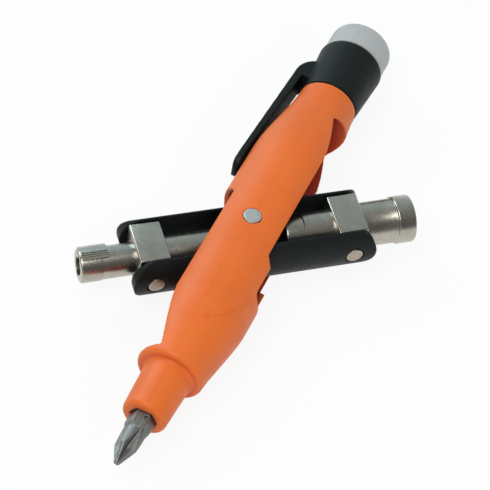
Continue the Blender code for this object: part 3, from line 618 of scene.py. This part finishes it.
def speckled(name, dark, light, rough=(0.35, 0.5), metallic=0.0, scale=1200.0):
    """A plain part's finish: mottled colour, uneven gloss and a fine grain."""
    material, tree, shader, place = blank_material(name, metallic)
    grain = noise(tree, place, scale, 4.0, 0.6)
    colour = ramp(tree, grain, (0.3, dark), (0.7, light))
    uneven = ramp(tree, noise(tree, place, scale / 4), (0.3, rough[0]), (0.7, rough[1]))
    dress(tree, shader, colour, uneven, bump(tree, grain, 0.15, 0.00005))
    return material


def circuit_board():
    material, tree, shader, place = blank_material("circuit_board")
    cells = {"Vector": place, "Scale": 420.0}
    lines = add(tree, "ShaderNodeTexVoronoi", cells, feature="DISTANCE_TO_EDGE")
    traces = lines.outputs["Distance"]
    colour = ramp(tree, traces, (0.06, (0.05, 0.26, 0.11)), (0.12, (0.015, 0.12, 0.05)))
    rough = ramp(tree, noise(tree, place, 900.0), (0.3, 0.32), (0.7, 0.45))
    dress(tree, shader, colour, rough, bump(tree, traces, 0.2, 0.00005))
    return material


# Pieces

def barrel_radius(y):
    """Outer radius of the barrel between its shoulder and its top."""
    if y < LOWER_SWELL_TO:
        share = (y - SHOULDER) / (LOWER_SWELL_TO - SHOULDER)
        straight = SHOULDER_RADIUS + (SWELL - SHOULDER_RADIUS) * share
        return (straight + ease(SHOULDER_RADIUS, SWELL, share)) / 2
    if y < LOWER_SWELL_FROM:
        return SWELL
    if y < 0:
        return ease(SWELL, WAIST, 1 - y / LOWER_SWELL_FROM)
    if y < UPPER_SWELL_FROM:
        return ease(WAIST, SWELL, y / UPPER_SWELL_FROM)
    if y < UPPER_SWELL_TO:
        return SWELL
    share = (y - UPPER_SWELL_TO) / (BARREL_TOP - UPPER_SWELL_TO)
    return ease(SWELL, BARREL_TOP_RADIUS, share)


def nose_radius(y):
    share = (y - NOSE_END) / (SHOULDER - NOSE_END)
    return NOSE_END_RADIUS + (NOSE_ROOT_RADIUS - NOSE_END_RADIUS) * share


def barrel_profile():
    edge = SHOULDER + SHOULDER_ROUND
    flat = barrel_radius(edge) - SHOULDER_ROUND
    rim = NOSE_END_RADIUS - NOSE_ROUND
    root = nose_radius(SHOULDER - NOSE_FILLET)
    profile = [(NOSE_END, 0)] + arc((NOSE_END + NOSE_ROUND, rim), NOSE_ROUND, 180, 90)
    profile += arc((SHOULDER - NOSE_FILLET, root + NOSE_FILLET), NOSE_FILLET, -90, 0)
    profile += arc((edge, flat), SHOULDER_ROUND, 180, 90)
    for step in range(1, BARREL_STATIONS):
        y = edge + (STATIONS_END - edge) * step / BARREL_STATIONS
        profile.append((y, barrel_radius(y)))
    top_edge = (BARREL_TOP - BARREL_TOP_ROUND, BARREL_TOP_RADIUS - BARREL_TOP_ROUND)
    profile += arc(top_edge, BARREL_TOP_ROUND, 90, 0)
    return profile + [(BARREL_TOP, 0)]


def pocket(end, bulge, near, low, high):
    """A link pocket with a hollow end, seen along X."""
    side = 1 if end > 0 else -1
    half = POCKET_HALF_HEIGHT
    round_end = arc((0, end - side * bulge), half, 0, 180, POCKET_STEPS, side * bulge / half)
    return prism([(half, near), *round_end, (-half, near)], low, high, ALONG_X)


def slot_cutter():
    """The room that the link needs: swung square, folded and everything between."""
    folded_end = RIVET_OFFSET + CHEEK_END + SWING_GAP
    folded = rod(-folded_end, folded_end, CHEEK_RADIUS + SWING_GAP, ALONG_Y, ROUND_STEPS)
    rooms = [
        rod(-CUT_WIDE, CUT_WIDE, CHEEK_RADIUS + SQUARE_GAP, ALONG_X, ROUND_STEPS),
        pocket(UPPER_POCKET_END, UPPER_POCKET_BULGE, -PIVOT_HEAD, -UPPER_POCKET_PAST_AXIS, CUT_POCKET),
        pocket(LOWER_POCKET_END, LOWER_POCKET_BULGE, PIVOT_HEAD, -CUT_POCKET, LOWER_POCKET_PAST_AXIS),
        rod(PIVOT_HEAD, KEY_ROOM_END, UPPER_KEY_ROOM, ALONG_Y, ROUND_STEPS),
        rod(-KEY_ROOM_END, -PIVOT_HEAD, LOWER_KEY_ROOM, ALONG_Y, ROUND_STEPS),
    ]
    cutter = draft("slot", folded)
    for room in rooms:
        combine(cutter, draft("room", room), "UNION")
    low = (-CUT_LONG, -CUT_LONG, -SLOT_HALF_HEIGHT)
    high = (CUT_LONG, CUT_LONG, SLOT_HALF_HEIGHT)
    combine(cutter, draft("slab", box(low, high)), "INTERSECT")
    return cutter


def window_cutter():
    inner = WINDOW_HALF - WINDOW_ROUND
    end = WINDOW_END + WINDOW_ROUND
    outline = [(WINDOW_HALF, -CHANNEL_HALF)] + arc((inner, end), WINDOW_ROUND, 0, -90)
    outline += arc((-inner, end), WINDOW_ROUND, 270, 180) + [(-WINDOW_HALF, -CHANNEL_HALF)]
    return draft("window", prism(outline, CHANNEL_HALF, CUT_WIDE, ALONG_X))


def flatten_waist(blank):
    """Keep the barrel's sides full at the waist, so that only its front and rear dip."""
    for vert in blank.verts:
        x, y, z = vert.co
        if LOWER_SWELL_FROM < y < UPPER_SWELL_FROM:
            crown = max(0.0, (z * z - x * x) / (x * x + z * z))
            waist = barrel_radius(y)
            radius = SWELL - (SWELL - waist) * crown
            vert.co.x *= radius / waist
            vert.co.z *= radius / waist


def headed_bore(seat, head, bore):
    """(height, radius) points of a bore for a pin with a head at both ends."""
    points = [(-CUT_WIDE, 0), (-CUT_WIDE, head), (-seat, head), (-seat, bore)]
    return points + [(seat, bore), (seat, head), (CUT_WIDE, head), (CUT_WIDE, 0)]


def make_barrel(material):
    blank = turned(barrel_profile(), ALONG_Y, ROUND_STEPS)
    flatten_waist(blank)
    barrel = draft("barrel_shell", blank)
    seat = PIVOT_FACE - PIVOT_HEAD_THICKNESS - GAP
    pivot = headed_bore(seat, PIVOT_HEAD + PIVOT_HEAD_GAP, PIVOT_SHANK + GAP)
    socket = prism(polygon(6, SOCKET_CORNER), NOSE_END - CUT_PAST, SOCKET_END, ALONG_Y)
    top = rod(TOP_BORE_FLOOR, CUT_LONG, TOP_BORE_RADIUS, ALONG_Y, ROUND_STEPS)
    combine(barrel, slot_cutter())
    combine(barrel, window_cutter())
    combine(barrel, draft("pivot", turned(pivot)))
    combine(barrel, draft("socket", socket))
    combine(barrel, draft("top", top))
    soften(barrel, voxel=0.27, passes=6, keep=0.4)
    settle(barrel, BODY, "handle", material, ["barrel"], sharp=0)


def surface_point(x, y):
    """The point of the barrel's front at x and y, and the direction away from it."""
    radius = nose_radius(y) if y < SHOULDER else barrel_radius(y)
    z = sqrt(radius * radius - x * x)
    return Vector((x, y, z)), Vector((x, 0, z)).normalized()


def make_seams(material):
    """The mould's parting line, front and rear, left out at the rivet and the shoulder."""
    for side, label in ((1, "front"), (-1, "rear")):
        flip = Vector((1, 1, side))
        for name, low, high in SEAM_RUNS:
            count = int(high - low)
            points, normals = [], []
            for step in range(count + 1):
                point, normal = surface_point(0, low + (high - low) * step / count)
                points.append(point * flip)
                normals.append(normal * flip)
            bead = ribbon(points, normals, SEAM_HALF_WIDTH, SEAM_HEIGHT)
            seam = draft(f"{label}_{name}_seam", bead)
            settle(seam, BODY, "handle", material)


def arrow_shaft():
    """(x, y) points along the arrow's bent shaft, from its tail to its head."""
    points = []
    for step in range(ARROW_STEPS + 1):
        share = step / ARROW_STEPS
        bent = ARROW_BEND * 2 * share * (1 - share)
        points.append(ARROW_TAIL * (1 - share) ** 2 + bent + ARROW_HEAD * share ** 2)
    return points


def make_arrow(material):
    """The raised arrow that shows which way the link swings out."""
    first, second = ARROW_BARBS
    for name, line in (("shaft", arrow_shaft()), ("head", [first, ARROW_HEAD, second])):
        dense = []
        for start, end in zip(line, line[1:]):
            for step in range(ARROW_FINE_STEPS):
                dense.append(start + (end - start) * step / ARROW_FINE_STEPS)
        dense.append(line[-1])
        placed = [surface_point(x, y) for x, y in dense]
        points = [point for point, _ in placed]
        normals = [normal for _, normal in placed]
        bead = draft("arrow_" + name, ribbon(points, normals, ARROW_HALF_WIDTH, ARROW_HEIGHT))
        settle(bead, BODY, "handle", material)


def clip_outline():
    """(x, y) outline of the pocket clip, from its root on the cap to its tip."""
    bend = (CLIP_ROOT_OUTER + CLIP_BEND, CLIP_ROOT_HIGH - CLIP_BEND)
    tip = (-(SWELL + CLIP_TIP_GAP + CLIP_TIP_HALF), CLIP_TIP + CLIP_TIP_HALF)
    fillet = (CLIP_ROOT_INNER + CLIP_ROOT_FILLET, CLIP_ROOT_LOW - CLIP_ROOT_FILLET)
    outline = [(CLIP_SUNK, CLIP_ROOT_HIGH)]
    outline += arc(bend, CLIP_BEND, 90, 180, BEND_STEPS)
    outline += arc(tip, CLIP_TIP_HALF, 180, 360, CLIP_END_STEPS)
    outline += CLIP_BACK
    outline += arc(fillet, CLIP_ROOT_FILLET, 180, 90)
    return outline + [(CLIP_SUNK, CLIP_ROOT_LOW)]


def clip_tongue():
    """(y, z) outline of the clip seen from the side: a strip with a rounded tip."""
    corner = CLIP_HALF_WIDTH - CLIP_TIP_ROUND
    tip = CLIP_TIP + CLIP_TIP_ROUND
    outline = [(CAP_TOP, -CLIP_HALF_WIDTH), (CAP_TOP, CLIP_HALF_WIDTH)]
    outline += arc((tip, corner), CLIP_TIP_ROUND, 90, 180, CORNER_STEPS)
    return outline + arc((tip, -corner), CLIP_TIP_ROUND, 180, 270, CORNER_STEPS)


def make_cap(material):
    base_edge = (CAP_BASE + CAP_BASE_ROUND, BARREL_TOP_RADIUS - CAP_BASE_ROUND)
    top_edge = (CAP_TOP - CAP_TOP_ROUND, CAP_TOP_RADIUS - CAP_TOP_ROUND)
    profile = [(SPIGOT_END, 0), (SPIGOT_END, SPIGOT_RADIUS), (CAP_BASE, SPIGOT_RADIUS)]
    profile += arc(base_edge, CAP_BASE_ROUND, 180, 90)
    profile += arc(top_edge, CAP_TOP_ROUND, 90, 0)
    profile.append((CAP_TOP, 0))
    cap = draft("clip_cap_shell", turned(profile, ALONG_Y, ROUND_STEPS))
    clip = draft("clip", prism(clip_outline(), -CLIP_BLANK_HALF_WIDTH, CLIP_BLANK_HALF_WIDTH))
    tongue = draft("tongue", prism(clip_tongue(), -CUT_WIDE, 0, FROM_SIDE))
    combine(clip, tongue, "INTERSECT")
    combine(cap, clip, "UNION")
    bore = [(CELL_BORE_FLOOR, 0), (CELL_BORE_FLOOR, CELL_BORE_RADIUS)]
    bore += [(CAP_LEDGE, CELL_BORE_RADIUS), (CAP_LEDGE, CAP_BORE_RADIUS)]
    bore += [(CAP_TOP + CUT_PAST, CAP_BORE_RADIUS), (CAP_TOP + CUT_PAST, 0)]
    combine(cap, draft("bore", turned(bore, ALONG_Y, ROUND_STEPS)))
    soften(cap, voxel=0.24, passes=5, keep=0.45)
    settle(cap, BODY, "handle", material, ["clip_cap"], sharp=0)


def make_lens(material):
    hollow = SKIRT_RADIUS - SKIRT_WALL
    inner_end = LENS_END - LENS_END_WALL
    hollow_edge = (inner_end - LENS_HOLLOW_ROUND, hollow - LENS_HOLLOW_ROUND)
    base_edge = (LENS_BASE + LENS_BASE_ROUND, LENS_RADIUS - LENS_BASE_ROUND)
    rim = (LENS_END - LENS_ROUND, LENS_RADIUS - LENS_ROUND)
    profile = [(inner_end, 0)] + arc(hollow_edge, LENS_HOLLOW_ROUND, 0, 90, CORNER_STEPS)
    profile += [(SKIRT_BASE, hollow), (SKIRT_BASE, SKIRT_RADIUS), (LENS_BASE, SKIRT_RADIUS)]
    profile += arc(base_edge, LENS_BASE_ROUND, 180, 90)
    profile += arc(rim, LENS_ROUND, 90, 0, BEND_STEPS)
    profile.append((LENS_END, 0))
    lens = draft("lens_shell", turned(profile, ALONG_Y, ROUND_STEPS))
    settle(lens, BODY, "lamp_button", material, ["lamp_lens"])


def rivet_profile(face, head, head_thickness, shank):
    """A headed pin, the same at both ends, with rounded and slightly domed heads."""
    under = face - head_thickness
    top = [(0, 0), (0, shank), (under, shank), (under, head)]
    top += arc((face - RIVET_EDGE, head - RIVET_EDGE), RIVET_EDGE, 90, 10)
    top.append((face + RIVET_DOME_STEP, head * RIVET_DOME_SHARE))
    top.append((face + RIVET_DOME_RISE, 0))
    mirrored = [(-height, radius) for height, radius in reversed(top[1:])]
    return mirrored + top[2:]


def make_rivets(pivot_material, key_material):
    profile = rivet_profile(PIVOT_FACE, PIVOT_HEAD, PIVOT_HEAD_THICKNESS, PIVOT_SHANK)
    pivot = draft("pivot_rivet_steel", turned(profile))
    settle(pivot, BODY, "handle", pivot_material, ["pivot_rivet"], sharp=50)
    profile = rivet_profile(RIVET_FACE, RIVET_HEAD, RIVET_HEAD_THICKNESS, RIVET_SHANK)
    for side, place in (("left", LEFT), ("right", RIGHT)):
        rivet = draft(side + "_rivet_steel", turned(profile, ALONG_Y))
        node = side + "_key_rivet"
        settle(rivet, place, "link", key_material, [node], sharp=50)


def make_link(material):
    tall = LINK_HALF_HEIGHT / CHEEK_END
    ends = arc((RIVET_OFFSET, 0), CHEEK_END, -90, 90, END_STEPS, tall)
    ends += arc((-RIVET_OFFSET, 0), CHEEK_END, 90, 270, END_STEPS, tall)
    blank = prism(ends, -CUT_WIDE, CUT_WIDE, Matrix.Rotation(pi / 2, 4, "X"))
    form = rod(-CUT_LONG, CUT_LONG, CHEEK_RADIUS, ALONG_X, ROUND_STEPS)
    link = draft("link_shell", blank)
    combine(link, draft("form", form), "INTERSECT")
    seat = RIVET_FACE - RIVET_HEAD_THICKNESS - GAP
    bore = headed_bore(seat, RIVET_HEAD + GAP, KEY_BORE)
    for x in (-RIVET_OFFSET, RIVET_OFFSET):
        combine(link, draft("bore", turned(bore, ALONG_Y), Matrix.Translation((x, 0, 0))))
    combine(link, draft("hub_bore", rod(-CUT_WIDE, CUT_WIDE, PIVOT_SHANK + GAP)))
    low = (-CUT_LONG, -CHANNEL_HALF, -CUT_WIDE)
    high = (CUT_LONG, CHANNEL_HALF, CUT_WIDE)
    channel = draft("channel", box(low, high))
    combine(channel, draft("hub", rod(-CUT_LONG, CUT_LONG, HUB_RADIUS, steps=ROUND_STEPS)))
    combine(link, channel)
    soften(link, voxel=0.24, passes=4, keep=0.4)
    settle(link, LINK, "link", material, ["link_frame"], sharp=0)


def key_blank(name, profile):
    key = draft(name, turned(profile, ALONG_X, SMALL_STEPS))
    half = BLOCK_WIDTH / 2
    low = (-BLOCK_LENGTH / 2, -half, -half)
    high = (BLOCK_LENGTH / 2, half, half)
    combine(key, draft("block", rounded_box(low, high, BLOCK_ROUND)), "UNION")
    combine(key, draft("bore", rod(-BLOCK_WIDTH, BLOCK_WIDTH, KEY_BORE, ALONG_Y)))
    return key


def sink(key, outline, reach, depth):
    """Sink a socket of an outline into the end of a key at a signed reach."""
    side = 1 if reach > 0 else -1
    low, high = sorted((reach - side * depth, reach + side * depth))
    combine(key, draft("socket", prism(outline, low, high, ALONG_X)))


def square(width):
    return polygon(4, width / sqrt(2), 45)


def make_right_key(material):
    ring = OUTER - RING_LENGTH
    step = -INNER + RIGHT_END_LENGTH
    inner_edge = (-INNER + RIGHT_END_ROUND, RIGHT_END_RADIUS - RIGHT_END_ROUND)
    ring_edge = RING_RADIUS - KEY_EDGE
    profile = [(-INNER, 0)] + arc(inner_edge, RIGHT_END_ROUND, 180, 90)
    profile += [(step, RIGHT_END_RADIUS), (step + RIGHT_STEP_LENGTH, RIGHT_INNER_RADIUS)]
    profile += [(0, RIGHT_INNER_RADIUS), (0, RIGHT_SHAFT_RADIUS), (ring, RIGHT_SHAFT_RADIUS)]
    profile.append((ring + RING_FOOT, RIGHT_SHAFT_RADIUS + RING_FOOT_RISE))
    profile += arc((ring + RING_FOOT + KEY_EDGE, ring_edge), KEY_EDGE, 150, 90)
    profile += arc((OUTER - KEY_EDGE, ring_edge), KEY_EDGE, 90, 0)
    profile.append((OUTER, 0))
    key = key_blank("right_key_steel", profile)
    sink(key, square(RIGHT_SQUARE), OUTER, SOCKET_DEPTH)
    sink(key, polygon(3, RIGHT_TRIANGLE / sqrt(3), 180), -INNER, SOCKET_DEPTH)
    settle(key, RIGHT, "key_right", material, ["right_key"], sharp=30)


def make_left_key(material):
    collar = OUTER - COLLAR_LENGTH
    pad_from = collar - PAD_BEYOND_COLLAR
    inner_edge = (-INNER + KEY_EDGE, LEFT_INNER_RADIUS - KEY_EDGE)
    profile = [(-INNER, 0)] + arc(inner_edge, KEY_EDGE, 180, 90)
    profile += [(0, LEFT_INNER_RADIUS), (0, LEFT_SHAFT_RADIUS), (collar, LEFT_SHAFT_RADIUS)]
    profile.append((collar + COLLAR_SLOPE, COLLAR_RADIUS))
    profile += arc((OUTER - KEY_EDGE, COLLAR_RADIUS - KEY_EDGE), KEY_EDGE, 90, 0)
    profile.append((OUTER, 0))
    key = key_blank("left_key_steel", profile)
    section = arc((0, 0), PAD_RADIUS, PAD_FROM, PAD_TO, PAD_STEPS)
    section += arc((0, 0), PAD_ROOT_RADIUS, PAD_TO, PAD_FROM, PAD_STEPS)
    pad = prism(section, pad_from, OUTER - PAD_END_GAP, ALONG_X)
    combine(key, draft("pad", pad), "UNION")
    length, width = BIT_SLOT_HALF_LENGTH, BIT_SLOT_HALF_WIDTH
    slot = [(-length, -width), (length, -width), (length, width), (-length, width)]
    sink(key, slot, OUTER, BIT_SLOT_DEPTH)
    sink(key, polygon(SMALL_STEPS, LEFT_BORE_RADIUS), OUTER, LEFT_BORE_DEPTH)
    sink(key, square(LEFT_SQUARE), -INNER, SOCKET_DEPTH)
    low = (pad_from - KNURL_PAST_PAD, -KNURL_HALF_WIDTH, KNURL_BOTTOM)
    high = (OUTER + KNURL_PAST_PAD, KNURL_HALF_WIDTH, KNURL_TOP)
    for count in range(KNURLS):
        turn = Matrix.Rotation(radians(KNURL_FIRST - KNURL_PITCH * count), 4, "X")
        combine(key, draft("groove", box(low, high), turn))
    settle(key, LEFT, "key_left", material, ["left_key"], sharp=30)


def flute():
    """A V-shaped groove along the bit whose bottom line climbs out of the shank."""
    solid = bmesh.new()
    rows = []
    for from_tip, bottom in FLUTE_STATIONS:
        reach = (FLUTE_TOP - bottom) * tan(FLUTE_HALF_ANGLE)
        corners = [(bottom, 0), (FLUTE_TOP, reach), (FLUTE_TOP, -reach)]
        row = [solid.verts.new((radius, BIT_TIP + from_tip, side)) for radius, side in corners]
        rows.append(row)
    solid.faces.new(rows[0])
    solid.faces.new(reversed(rows[-1]))
    for row, after in zip(rows, rows[1:]):
        for corner in range(3):
            other = (corner + 1) % 3
            solid.faces.new((row[corner], after[corner], after[other], row[other]))
    return solid


def make_bit(material):
    chamfer_end = HEX_END + HEX_CHAMFER_LENGTH
    bit = draft("bit_steel", prism(polygon(6, HEX_CORNER), HEX_END, HEX_BACK, ALONG_Y))
    form = [(HEX_END - GAP, 0), (HEX_END - GAP, BIT_END_RADIUS), (HEX_END, BIT_END_RADIUS)]
    form += [(chamfer_end, HEX_CHAMFER_RADIUS), (BIT_INNER_END, HEX_CHAMFER_RADIUS)]
    form.append((BIT_INNER_END, 0))
    combine(bit, draft("form", turned(form, ALONG_Y)), "INTERSECT")
    point = [(BIT_TIP, 0), (BIT_TIP, BIT_POINT_RADIUS)]
    point += [(BIT_TIP + BIT_CONE_LENGTH, BIT_WING_RADIUS), (HEX_END, BIT_SHANK_RADIUS)]
    point += [(chamfer_end, BIT_SHANK_RADIUS), (chamfer_end, 0)]
    combine(bit, draft("point", turned(point, ALONG_Y)), "UNION")
    low = (-BLADE_HALF_WIDTH, BLADE_FROM, -BLADE_HALF_THICKNESS)
    high = (BLADE_HALF_WIDTH, BIT_INNER_END, BLADE_HALF_THICKNESS)
    combine(bit, draft("blade", box(low, high)), "UNION")
    for count in range(FLUTES):
        turn = Matrix.Rotation(radians(FLUTE_TURN + 360 / FLUTES * count), 4, "Y")
        combine(bit, draft("flute", flute(), turn))
    dimple = rod(-DIMPLE_HALF_DEPTH, DIMPLE_HALF_DEPTH, DIMPLE_RADIUS, steps=HOLE_STEPS)
    combine(bit, draft("dimple", dimple, Matrix.Translation(DIMPLE_PLACE)))
    soften(bit, voxel=0.1, passes=3, keep=0.35)
    settle(bit, BODY, "driver_bit", material, ["bit"], sharp=0)


def dress_inner_nodes():
    """Give the nodes that keep their solid shape their materials."""
    nylon = speckled("washer_nylon", (0.035, 0.035, 0.035), (0.06, 0.06, 0.06))
    nickel = speckled("magnet_nickel", (0.40, 0.40, 0.38), (0.50, 0.50, 0.48), (0.2, 0.35), 1.0)
    can = speckled("cell_can", (0.52, 0.52, 0.50), (0.64, 0.64, 0.62), (0.2, 0.34), 1.0)
    brass = speckled("contact_brass", (0.60, 0.42, 0.16), (0.74, 0.54, 0.22), (0.25, 0.4), 1.0)
    resin = speckled("led_resin", (0.74, 0.77, 0.80), (0.84, 0.86, 0.88), (0.08, 0.16))
    ceramic = speckled("resistor_ceramic", (0.015, 0.015, 0.02), (0.03, 0.03, 0.035))
    looks = {
        "front_washer": nylon, "rear_washer": nylon, "bit_magnet": nickel,
        "switch_dome": brass, "battery_contact": brass,
        "battery_cell_1": can, "battery_cell_2": can, "battery_cell_3": can,
        "lamp_led": resin, "lamp_board": circuit_board(), "lamp_resistor": ceramic,
    }
    for name, material in looks.items():
        mesh = frame["nodes"][name].data
        mesh.materials.clear()
        mesh.materials.append(material)


# Stage

def floor_material():
    """Mostly plain white to the camera and in reflections, pale and matt to the light."""
    material = bpy.data.materials.new("pale_floor")
    material.use_nodes = True
    tree = material.node_tree
    shader = tree.nodes["Principled BSDF"]
    shader.inputs["Base Color"].default_value = (0.86, 0.86, 0.86, 1.0)
    shader.inputs["Roughness"].default_value = 0.9
    shader.inputs["Specular IOR Level"].default_value = 0.0
    ray = tree.nodes.new("ShaderNodeLightPath").outputs
    direct = {0: ray["Is Camera Ray"], 1: ray["Is Glossy Ray"]}
    seen = add(tree, "ShaderNodeMath", direct, operation="MAXIMUM")
    through = {0: seen.outputs[0], 1: ray["Is Transmission Ray"]}
    shown = add(tree, "ShaderNodeMath", through, operation="MAXIMUM")
    share = add(tree, "ShaderNodeMath", {0: shown.outputs[0], 1: FLOOR_WHITE}, operation="MULTIPLY")
    glow = add(tree, "ShaderNodeEmission", {"Color": (1, 1, 1, 1), "Strength": 1.0})
    blended = {0: share.outputs[0], 1: shader.outputs[0], 2: glow.outputs[0]}
    blend = add(tree, "ShaderNodeMixShader", blended)
    tree.links.new(blend.outputs[0], tree.nodes["Material Output"].inputs["Surface"])
    return material


def make_floor():
    solid = bmesh.new()
    signs = [(-1, -1), (1, -1), (1, 1), (-1, 1)]
    corners = [(FLOOR_HALF * x, FLOOR_HALF * y, FLOOR_HEIGHT) for x, y in signs]
    solid.faces.new([solid.verts.new(corner) for corner in corners])
    mesh = bpy.data.meshes.new("floor")
    solid.to_mesh(mesh)
    solid.free()
    floor = bpy.data.objects.new("floor", mesh)
    bpy.context.scene.collection.objects.link(floor)
    mesh.materials.append(floor_material())


def make_light(name, place, side, power, target=TOOL_MIDDLE, colour=(1, 1, 1)):
    """A square lamp that faces a target."""
    light = bpy.data.lights.new(name, "AREA")
    light.shape = "SQUARE"
    light.size = side
    light.energy = power
    light.color = colour
    item = bpy.data.objects.new(name, light)
    item.location = place
    aim = Vector(target) - Vector(place)
    item.rotation_euler = aim.to_track_quat("-Z", "Y").to_euler()
    bpy.context.scene.collection.objects.link(item)
    return item


def make_lights():
    make_light("key_light", (-0.15, -0.45, 1.05), side=0.7, power=7.6)
    make_light("side_light", (-0.80, 0.30, 0.62), side=0.6, power=3.1, colour=(0.92, 0.98, 1.0))
    fill = make_light("fill_light", (0.75, -0.35, 0.55), side=0.6, power=2.2)
    fill.visible_glossy = False
    # A small cool lamp that only adds a gleam to the barrel's left side
    sheen = make_light(
        "sheen_light", (-0.22, 0.11, 0.13), side=0.15, power=0.22,
        target=(0, -0.036, 0.02), colour=(0.5, 0.84, 1.0),
    )
    sheen.visible_diffuse = False


def make_world():
    """A soft room: bright behind the tool, dark where the viewer stands."""
    world = bpy.data.worlds.new("studio")
    bpy.context.scene.world = world
    world.use_nodes = True
    tree = world.node_tree
    ground = tree.nodes["Background"]
    place = tree.nodes.new("ShaderNodeTexCoord").outputs["Generated"]
    halved = {"Vector": place, "Location": (0, 0.5, 0), "Scale": (1, 0.5, 1)}
    mapped = add(tree, "ShaderNodeMapping", halved)
    parts = add(tree, "ShaderNodeSeparateXYZ", {"Vector": mapped.outputs["Vector"]})
    room = ramp(
        tree, parts.outputs["Y"],
        (0.0, 0.30), (0.225, 0.11), (0.55, 0.22),
        (0.80, (0.44, 0.52, 0.54)), (0.90, (0.48, 0.57, 0.61)), (1.0, (0.61, 0.72, 0.79)),
    )
    tree.links.new(room, ground.inputs["Color"])
    ground.inputs["Strength"].default_value = 1.0


def make_camera():
    camera = bpy.data.cameras.new("camera")
    camera.sensor_width = CAMERA_SENSOR
    camera.lens = CAMERA_LENS
    camera.clip_start = 0.01
    item = bpy.data.objects.new("camera", camera)
    rows = zip(CAMERA_RIGHT, CAMERA_UP, CAMERA_BACK, CAMERA_PLACE)
    item.matrix_world = Matrix([*rows, (0, 0, 0, 1)])
    bpy.context.scene.collection.objects.link(item)
    bpy.context.scene.camera = item


def main():
    for item in list(bpy.data.objects):
        if item.type in ("LIGHT", "CAMERA"):
            bpy.data.objects.remove(item, do_unlink=True)
    orange, black, plated = orange_plastic(), black_plastic(), plated_steel()
    make_barrel(orange)
    # The parting line's bead gets a slightly darker orange: painted shade along the ridge
    make_seams(orange_plastic("orange_seam_painted_shade", 0.95))
    make_arrow(orange)
    make_cap(black)
    make_lens(frosted_lens())
    pale_steel = rivet_steel("Z", (0.56, 0.545, 0.52), (0.74, 0.72, 0.69))
    # The key rivets' warm brown tone is partly the steel's own and partly a painted reflection of the
    # orange barrel
    warm_steel_and_painted_reflection = rivet_steel("Y", (0.36, 0.31, 0.25), (0.47, 0.42, 0.345))
    make_rivets(pale_steel, warm_steel_and_painted_reflection)
    make_link(black)
    make_right_key(plated)
    make_left_key(plated)
    make_bit(tool_steel())
    dress_inner_nodes()
    make_floor()
    make_world()
    make_lights()
    make_camera()
    bpy.context.scene.view_settings.view_transform = "Standard"


main()
